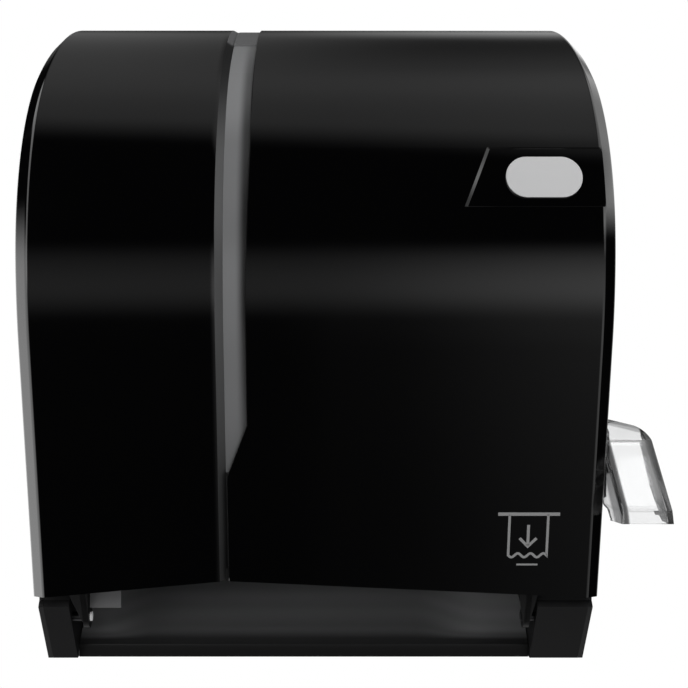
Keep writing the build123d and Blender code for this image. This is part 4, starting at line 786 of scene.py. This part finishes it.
def cover_grids():
    """Outer and inner grids of the cover, and the mask of cells kept. Each row is one section through the
    cover: up the left side, over the left strip, across the face, and down again on the right."""
    upper, marks = cover_rows()
    fan = np.linspace(0, 1, LOW_ROWS + 1)[:-1]
    run = np.concatenate([np.full(LOW_ROWS, LOW_RUN), upper])
    lift = np.concatenate([fan, np.ones(len(upper))])
    face, on_badge = face_columns(np.where(lift < 1, LOW_RUN * lift, run), marks)
    outer_edge = rounded_edge(((COVER_HALF, -EDGE_DROP), (COVER_HALF, 0), (EDGE_CORNER, FACE_OFFSET),
                               (EDGE_CORNER - EDGE_FLAT, FACE_OFFSET)), EDGE_ROUND)
    inner_edge = rounded_edge(((INNER_HALF, INNER_SIDE_OFFSET - EDGE_DROP), (INNER_HALF, INNER_SIDE_OFFSET),
                               (INNER_FACE_HALF, INNER_FACE_OFFSET),
                               (INNER_FACE_HALF - EDGE_FLAT, INNER_FACE_OFFSET)), INNER_EDGE_ROUND)
    grids = []
    for level, edge in ((1, outer_edge), (2, inner_edge)):
        side_x, side_offset = edge[0]
        right = edge[::-1]
        if level == 1:  # the badge panel runs out through the face's right edge
            right = [(x, np.where(on_badge, np.minimum(d, BADGE_OFFSET), d)) for x, d in right]
        columns = [*((-x, d) for x, d in edge), *((column[0], column[level]) for column in face), *right]
        x, offset = (np.stack([column[i] + 0 * run for column in columns], axis=1) for i in (0, 1))
        lean_sine = math.sin(math.radians(LEAN))
        first_run = (cut_height(x) - FOOT[1] + lean_sine * offset) / math.cos(math.radians(LEAN))
        here = first_run + (run[:, None] - first_run) * lift[:, None]
        y, z = outline(here, offset)
        body = np.stack([x, y, z], axis=-1)
        # the sides: straight lines from the rear edge to the curved edge
        top = LEVEL_START[1] + side_offset
        rise = (here[:, :1] - here[0, 0]) / (FULL_RUN - here[0, 0])
        rear_z = FOOT[1] + (top - FOOT[1]) * rise
        walls = []
        for sign, edge_points in ((-1, body[:, 0]), (1, body[:, -1])):
            rear = np.concatenate([np.full_like(rear_z, sign * side_x), 0 * rear_z, rear_z], axis=1)
            steps = SIDE_STEPS if sign < 0 else SIDE_STEPS[::-1]
            walls.append(np.stack([rear + (edge_points - rear) * t for t in steps], axis=1))
        grids.append(np.concatenate([walls[0], body, walls[1]], axis=1))
    keep = np.ones((grids[0].shape[0] - 1, grids[0].shape[1] - 1), bool)
    above_low, below_top = run[:-1] > marks["glass"] - SLIVER, run[1:] < marks["glass_top"] + SLIVER
    keep[above_low & below_top & (lift[:-1] == 1), len(SIDE_STEPS) + len(outer_edge) + GLASS_COLUMN] = False
    return grids[0], grids[1], keep


CREASE = 28.0  # degrees: edges above it stay sharp in what has been cut
BEYOND = 5.0  # how far a cutter stands out past what it cuts


def cut_away(piece, cutters):
    """Cuts closed shapes out of a piece and keeps the result as its mesh."""
    for points, faces in cutters:
        tool = new_object("cutter", closed_mesh("cutter", points, faces))
        cut = piece.modifiers.new("cut", "BOOLEAN")
        cut.operation, cut.solver, cut.object = "DIFFERENCE", "EXACT", tool
        result = bpy.data.meshes.new_from_object(piece.evaluated_get(bpy.context.evaluated_depsgraph_get()))
        piece.modifiers.clear()
        piece.data = result
        bpy.data.objects.remove(tool)
    shade(piece.data, CREASE)


def front_cover():
    """The cover's shell, with the lever's arched passage and the lock's seat cut out of it."""
    outer, inner, keep = cover_grids()
    piece = add_piece("cover_shell", *shell(outer, inner, keep), "cover", FINISH["cover"], CREASE)
    reach, crown = math.dist(HINGE, LEVER_AXIS), LEVEL_START[1] + FACE_OFFSET
    passage = np.concatenate([circle(HINGE, reach + PASSAGE_HALF, 80, PASSAGE_FROM, PASSAGE_TO, False),
                              circle(HINGE, reach - PASSAGE_HALF, 80, PASSAGE_TO, PASSAGE_FROM, False)])
    cut_away(piece, [
        prism(passage, FACE_HALF, COVER_HALF + BEYOND, 0),
        prism(circle(LOCK, LOCK_FLANGE_BORE), LOCK_SEAT_Z, crown + BEYOND, 2),
        prism(circle(LOCK, LOCK_SLEEVE_BORE), LOCK_BOSS_Z - BEYOND, crown + BEYOND, 2),
    ])
    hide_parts("front_cover")


def front_at(z, offset):
    """Y of the leaning straight at a height."""
    lean = math.radians(LEAN)
    return FOOT[0] - (z - FOOT[1]) * math.tan(lean) - offset / math.cos(lean)


EAR_TOP, EAR_FOOT = -138.0, -148.5
EAR_T, WEB_T, WEB_RISE = 3.0, 2.4, 6.0
EARS = {"left": (-124.5, -130.3, -121.0), "right": (111.5, 108.0, 117.3)}  # plate, and the web's two sides


def hinge_ears():
    """An ear at each end of the cover's foot: a plate that narrows to an eye, and a web across its front
    that narrows with it. The web's sides run straight from the wall's width to the plate's."""
    wall, foot, upper = (front_at(z, INNER_FACE_OFFSET + 1) for z in (EAR_TOP, EAR_FOOT, EAR_TOP + WEB_RISE))
    eye = circle(HINGE, EYE_R, 24, 200, 380, False)
    plate = np.concatenate([[(wall, EAR_TOP), (foot, EAR_FOOT)], eye])
    web = np.array([(foot, EAR_FOOT), eye[0], eye[0] + (WEB_T, 1.0),
                    (foot + 2 * WEB_T, EAR_FOOT + WEB_RISE / 2), (upper, EAR_TOP + WEB_RISE)])
    for side, (plate_x, low_x, high_x) in EARS.items():
        points, faces = prism(plate, plate_x, plate_x + EAR_T, 0)
        ear = add_piece(f"hinge_ear_{side}", points, faces, "cover", FINISH["cover_inside"])
        cut_away(ear, [prism(circle(HINGE, HINGE_BORE, 48), plate_x - 1, plate_x + EAR_T + 1, 0)])
        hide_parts("front_cover")
        points, faces = prism(web, 0, 1, 0)
        narrowing = np.interp(points[:, 2], (eye[0][1] - 1, EAR_FOOT - 1), (0, 1))
        near = plate_x + (low_x - plate_x) * narrowing
        far = plate_x + EAR_T + (high_x - plate_x - EAR_T) * narrowing
        points[:, 0] = np.where(points[:, 0] > 0.5, far, near)
        brace = add_piece(f"hinge_ear_web_{side}", points, faces, "cover", FINISH["cover_inside"])
        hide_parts("front_cover")


def lock_boss():
    """The boss under the lock's seat: a closed section of (radius, Z) turned about the lock's axis."""
    top = LOCK_SEAT_Z - LOCK_BOSS_GAP
    section = np.array([(LOCK_BOSS_R, LOCK_BOSS_Z), (LOCK_BOSS_R, top), (LOCK_SLEEVE_BORE, top),
                        (LOCK_SLEEVE_BORE, LOCK_BOSS_Z), (LOCK_BOSS_R, LOCK_BOSS_Z)])
    turn = np.radians(np.linspace(0, 360, 97))
    radius, height = section[:, :1], section[:, 1:] + 0 * turn
    grid = np.stack([LOCK[0] + radius * np.cos(turn), LOCK[1] + radius * np.sin(turn), height], axis=-1)
    piece = add_piece("lock_boss", grid.reshape(-1, 3), grid_faces(*height.shape), "cover",
                      FINISH["cover_inside"])
    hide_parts("front_cover")


LEVER_ARM_FOOT = ((-193.6, -107.2), (-190.0, -102.4), (-180.0, -99.0), (-168.0, -97.0), (-168.0, -110.0),
                  (-193.6, -110.0))  # (Y, Z) of what is taken off below the arm
LEVER_ARM_SIDES, LEVER_ROUND = (150.0, 163.0), 0.5


def lever_pad():
    """The lever, with the arm's lower edge drawn up in a line from the lip to the hub."""
    piece = merged_copy("lever", "lever_pad", "lever_arm", FINISH["lever"], 0.0)
    cut_away(piece, [prism(LEVER_ARM_FOOT, *LEVER_ARM_SIDES, 0)])
    soften(piece, LEVER_ROUND)


# ------------------------ the picture mark
def stroke(path, width):
    """A ribbon of even width along a path (n, 2): left and right edges, mitred at its bends."""
    path = np.asarray(path, dtype=float)
    before = np.concatenate([path[:1] * 2 - path[1:2], path[:-1]])
    after = np.concatenate([path[1:], path[-1:] * 2 - path[-2:-1]])
    into, away = unit(path - before), unit(after - path)
    normal = unit(np.stack([-(into + away)[:, 1], (into + away)[:, 0]], axis=-1))
    square = np.stack([-into[:, 1], into[:, 0]], axis=-1)
    reach = 0.5 * width / np.sum(normal * square, axis=1, keepdims=True)
    return np.stack([path - normal * reach, path + normal * reach], axis=1)


MARK_CENTRE, MARK_PROUD, MARK_SUNK = (110.5, -118.5), 0.05, 0.2
SHEET_HALF, SHEET_TOP, SHEET_FOOT, SHEET_WAVE = 10.0, 15.0, -8.0, 1.1
MARK_LINES = (  # each path, from the mark's centre, and its width
    (((-16.0, SHEET_TOP), (16.0, SHEET_TOP)), 1.8), (((0.0, 9.0), (0.0, -2.6)), 1.5),
    (((-4.4, 1.6), (0.0, -3.0), (4.4, 1.6)), 1.5), (((-5.5, -13.2), (5.5, -13.2)), 1.0))


def sheet_mark():
    """A plain mark for taking a sheet: a slot, a sheet that hangs from it with a wavy edge, and an arrow."""
    across = np.linspace(-1, 1, 41)
    wave = SHEET_FOOT + SHEET_WAVE * np.sin(across * 3 * math.pi)
    sheet = np.concatenate([[(-SHEET_HALF, SHEET_TOP)], np.stack([SHEET_HALF * across, wave], -1),
                            [(SHEET_HALF, SHEET_TOP)]])
    foot = run_at_height(MARK_CENTRE[1])
    points, faces = [], []
    for path, width in (*MARK_LINES, (sheet, 1.3)):
        ribbon = stroke(path, width)
        x, run = MARK_CENTRE[0] + ribbon[..., 0], foot + ribbon[..., 1]
        top = np.stack([x, *outline(run, FACE_OFFSET + MARK_PROUD)], axis=-1)
        low = np.stack([x, *outline(run, FACE_OFFSET - MARK_SUNK)], axis=-1)
        placed, quads = shell(top, low)
        faces.append(quads + sum(len(p) for p in points))
        points.append(placed)
    add_piece("sheet_mark", np.concatenate(points), np.concatenate(faces), "cover", FINISH["mark"])


# ------------------------ stage, light and camera
# The studio that gloss shows: soft boxes, each a strength and ramps over the direction that a ray leaves in,
# as (axis, start, end, low, high). The axis called edge runs aslant and gives the overhead its front edge.
SLANT = 0.45
FRONT, RIGHT_END = ("y", 0.1, -0.15), ("x", 0.93, 0.82)
LOW_FRONT = (FRONT, RIGHT_END, ("z", -0.17, -0.35), ("z", -0.65, -0.35, 0.4, 1.0))
OVERHEAD = (("edge", -0.55, -0.25), ("x", -0.4, -0.2), ("x", 0.4, 0.2), ("z", 0.0, 0.3),
            ("y", 0.86, 0.95, 1.0, 0.15))
SOFT_BOXES = {
    "eye_level": (1.0, FRONT, RIGHT_END, ("z", -0.35, -0.17), ("z", 0.17, -0.16),
                  ("x", -0.02, 0.27, 0.3, 1.03)),
    "low_left": (1.0, *LOW_FRONT, ("x", -0.02, 0.02, 0.01, 0.05)),
    "low_middle": (0.24, *LOW_FRONT, ("x", 0.04, 0.26)),
    "low_right": (0.9, *LOW_FRONT, ("x", 0.33, 0.45)),
    "overhead_rear": (1.0, *OVERHEAD, ("x", -0.18, 0.12, 0.18, 0.045), ("y", 0.1, 0.75)),
    "overhead_front": (1.0, *OVERHEAD, ("x", 0.0, 0.25, 0.37, 0.48), ("y", 0.75, 0.1)),
    "right_high": (1.0, ("x", 0.3, 0.5), ("z", 0.12, 0.3), ("z", 0.25, 0.45, 1.9, 1.2),
                   ("y", 0.4, 0.62, 1.15, 0.35)),
    "right_corner": (0.9, FRONT, RIGHT_END, ("x", 0.4, 0.5), ("z", 0.0, 0.1), ("z", 0.45, 0.3)),
    "left_low": (2.6, ("x", -0.4, -0.75), ("z", 0.28, -0.03)),
    "left_edge": (2.2, ("x", -0.34, -0.42), ("x", -0.8, -0.7), ("y", 0.45, 0.3), ("z", -0.2, -0.05)),
    "backdrop": (1.0, ("y", 0.3, 0.5), ("z", 0.38, 0.28), ("z", -0.6, -0.4), ("x", -0.1, 0.3, 0.015, 1.15),
                 ("x", 0.3, 0.5, 1.0, 0.55)),
    "backdrop_high": (0.43, ("y", 0.45, 0.6), ("z", 0.36, 0.42), ("z", 0.62, 0.45), ("x", -0.08, 0.2)),
}
BETWEEN_BOXES = 0.004
THROUGH_PLASTIC = ("y", 0.35, 0.75, 0.15, 1.0)
DAYLIGHT = 0.6


def studio_world():
    """Even grey light for matt surfaces, white for what is seen straight or through clear plastic, and the
    studio of soft boxes for gloss."""
    world = bpy.data.worlds.new("studio")
    bpy.context.scene.world = world
    world.use_nodes = True
    tree = world.node_tree
    tree.nodes.clear()
    way = tree.nodes.new("ShaderNodeSeparateXYZ")
    socket(tree.nodes.new("ShaderNodeTexCoord").outputs["Generated"], way.inputs[0])
    axes = dict(zip("xyz", way.outputs))
    axes["edge"] = total(tree, axes["y"], times(tree, axes["x"], SLANT))

    @functools.cache
    def ramp(axis, *numbers):
        return smooth_step(tree, axes[axis], *numbers)

    gloss = total(tree, *(times(tree, *(ramp(*numbers) for numbers in ramps), strength)
                          for strength, *ramps in SOFT_BOXES.values()), BETWEEN_BOXES)
    rays = tree.nodes.new("ShaderNodeLightPath").outputs
    seen, glossy, transmitted = (rays[f"Is {kind} Ray"] for kind in ("Camera", "Glossy", "Transmission"))
    through = times(tree, transmitted, ramp(*THROUGH_PLASTIC))
    indirect = total(tree, times(tree, glossy, gloss), times(tree, rest_of(tree, glossy), DAYLIGHT))
    straight = math_node(tree, "MAXIMUM", seen, transmitted)
    background = tree.nodes.new("ShaderNodeBackground")
    feed(background, Color=(1, 1, 1, 1),
         Strength=total(tree, seen, through, times(tree, rest_of(tree, straight), indirect)))
    socket(background.outputs[0], tree.nodes.new("ShaderNodeOutputWorld").inputs[0])


FLOOR_DROP = 1.15
FLOOR_FRONT, FLOOR_REAR, FLOOR_SIDE = -0.45, 3.0, 1.2
FLOOR_GLOW = 0.8  # the share of plain white in what the camera sees of the floor


def pale_floor():
    """A plain pale floor well below the dispenser, which hangs at its working height."""
    height = cad_low.z - FLOOR_DROP
    mesh = bpy.data.meshes.new("floor")
    corners = ((-FLOOR_SIDE, FLOOR_FRONT), (FLOOR_SIDE, FLOOR_FRONT), (FLOOR_SIDE, FLOOR_REAR),
               (-FLOOR_SIDE, FLOOR_REAR))
    mesh.from_pydata([(x, y, height) for x, y in corners], [], [(0, 1, 2, 3)])
    floor = new_object("floor", mesh)
    material, tree, shader = new_finish("floor_white", "floor", (0.9, 0.9, 0.9), Roughness=0.9)
    glow = tree.nodes.new("ShaderNodeEmission")
    mix = tree.nodes.new("ShaderNodeMixShader")
    seen = tree.nodes.new("ShaderNodeLightPath").outputs["Is Camera Ray"]
    for source, target in zip((times(tree, seen, FLOOR_GLOW), shader.outputs[0], glow.outputs[0]),
                              mix.inputs):
        socket(source, target)
    socket(mix.outputs[0], tree.nodes["Material Output"].inputs[0])
    mesh.materials.append(material)


LAMP_AIM = (0.0, -0.1, 0.0)


def soft_lamp(name, place, size, power):
    """A square soft box that gloss does not show, because the studio round it already does."""
    lamp = bpy.data.lights.new(name, "AREA")
    lamp.size, lamp.energy = size, power
    holder = new_object(name, lamp)
    holder.location = place
    heading = np.array(LAMP_AIM) - np.array(place)
    holder.rotation_euler = (math.atan2(math.hypot(heading[0], heading[1]), -heading[2]), 0,
                             math.atan2(heading[1], heading[0]) - math.pi / 2)
    holder.visible_glossy = False
    holder.visible_camera = False


LENS, SENSOR, LENS_SHIFT = 65.09, 36.0, 0.0414
CAMERA_AT = (0.0, -0.842, -0.016)


def camera():
    """Level, a little below the middle of the cover, with the view shifted sideways."""
    lens = bpy.data.cameras.new("camera")
    lens.lens, lens.sensor_width, lens.shift_x = LENS, SENSOR, LENS_SHIFT
    holder = new_object("camera", lens)
    holder.location = CAMERA_AT
    holder.rotation_euler = (math.pi / 2, 0, 0)
    bpy.context.scene.camera = holder


# ------------------------ build
finish_nodes()
front_cover()
hinge_ears()
lock_boss()
sheet_mark()
lever_pad()
for node, name, finish, bevel in (
        ("left_cheek", "left_side_frame", "housing", 0.35),
        ("right_cheek", "right_side_frame", "housing", 0.35),
        ("left_side_cover", "left_side_plate", "frame", 0.5),
        ("gear_cover", "gear_side_plate", "frame", 0.5),
        ("chute", "paper_chute", "chute", 0.35),
        ("paper_guide", "guide_bar", "guide", 0.35)):
    merged_copy(node, name, "housing", FINISH[finish], bevel)

studio_world()
pale_floor()
soft_lamp("key", (0.9, -1.6, 1.3), 1.2, 22)
soft_lamp("fill", (-1.2, -1.3, 0.4), 1.4, 10)
camera()
bpy.context.scene.view_settings.view_transform = "Standard"
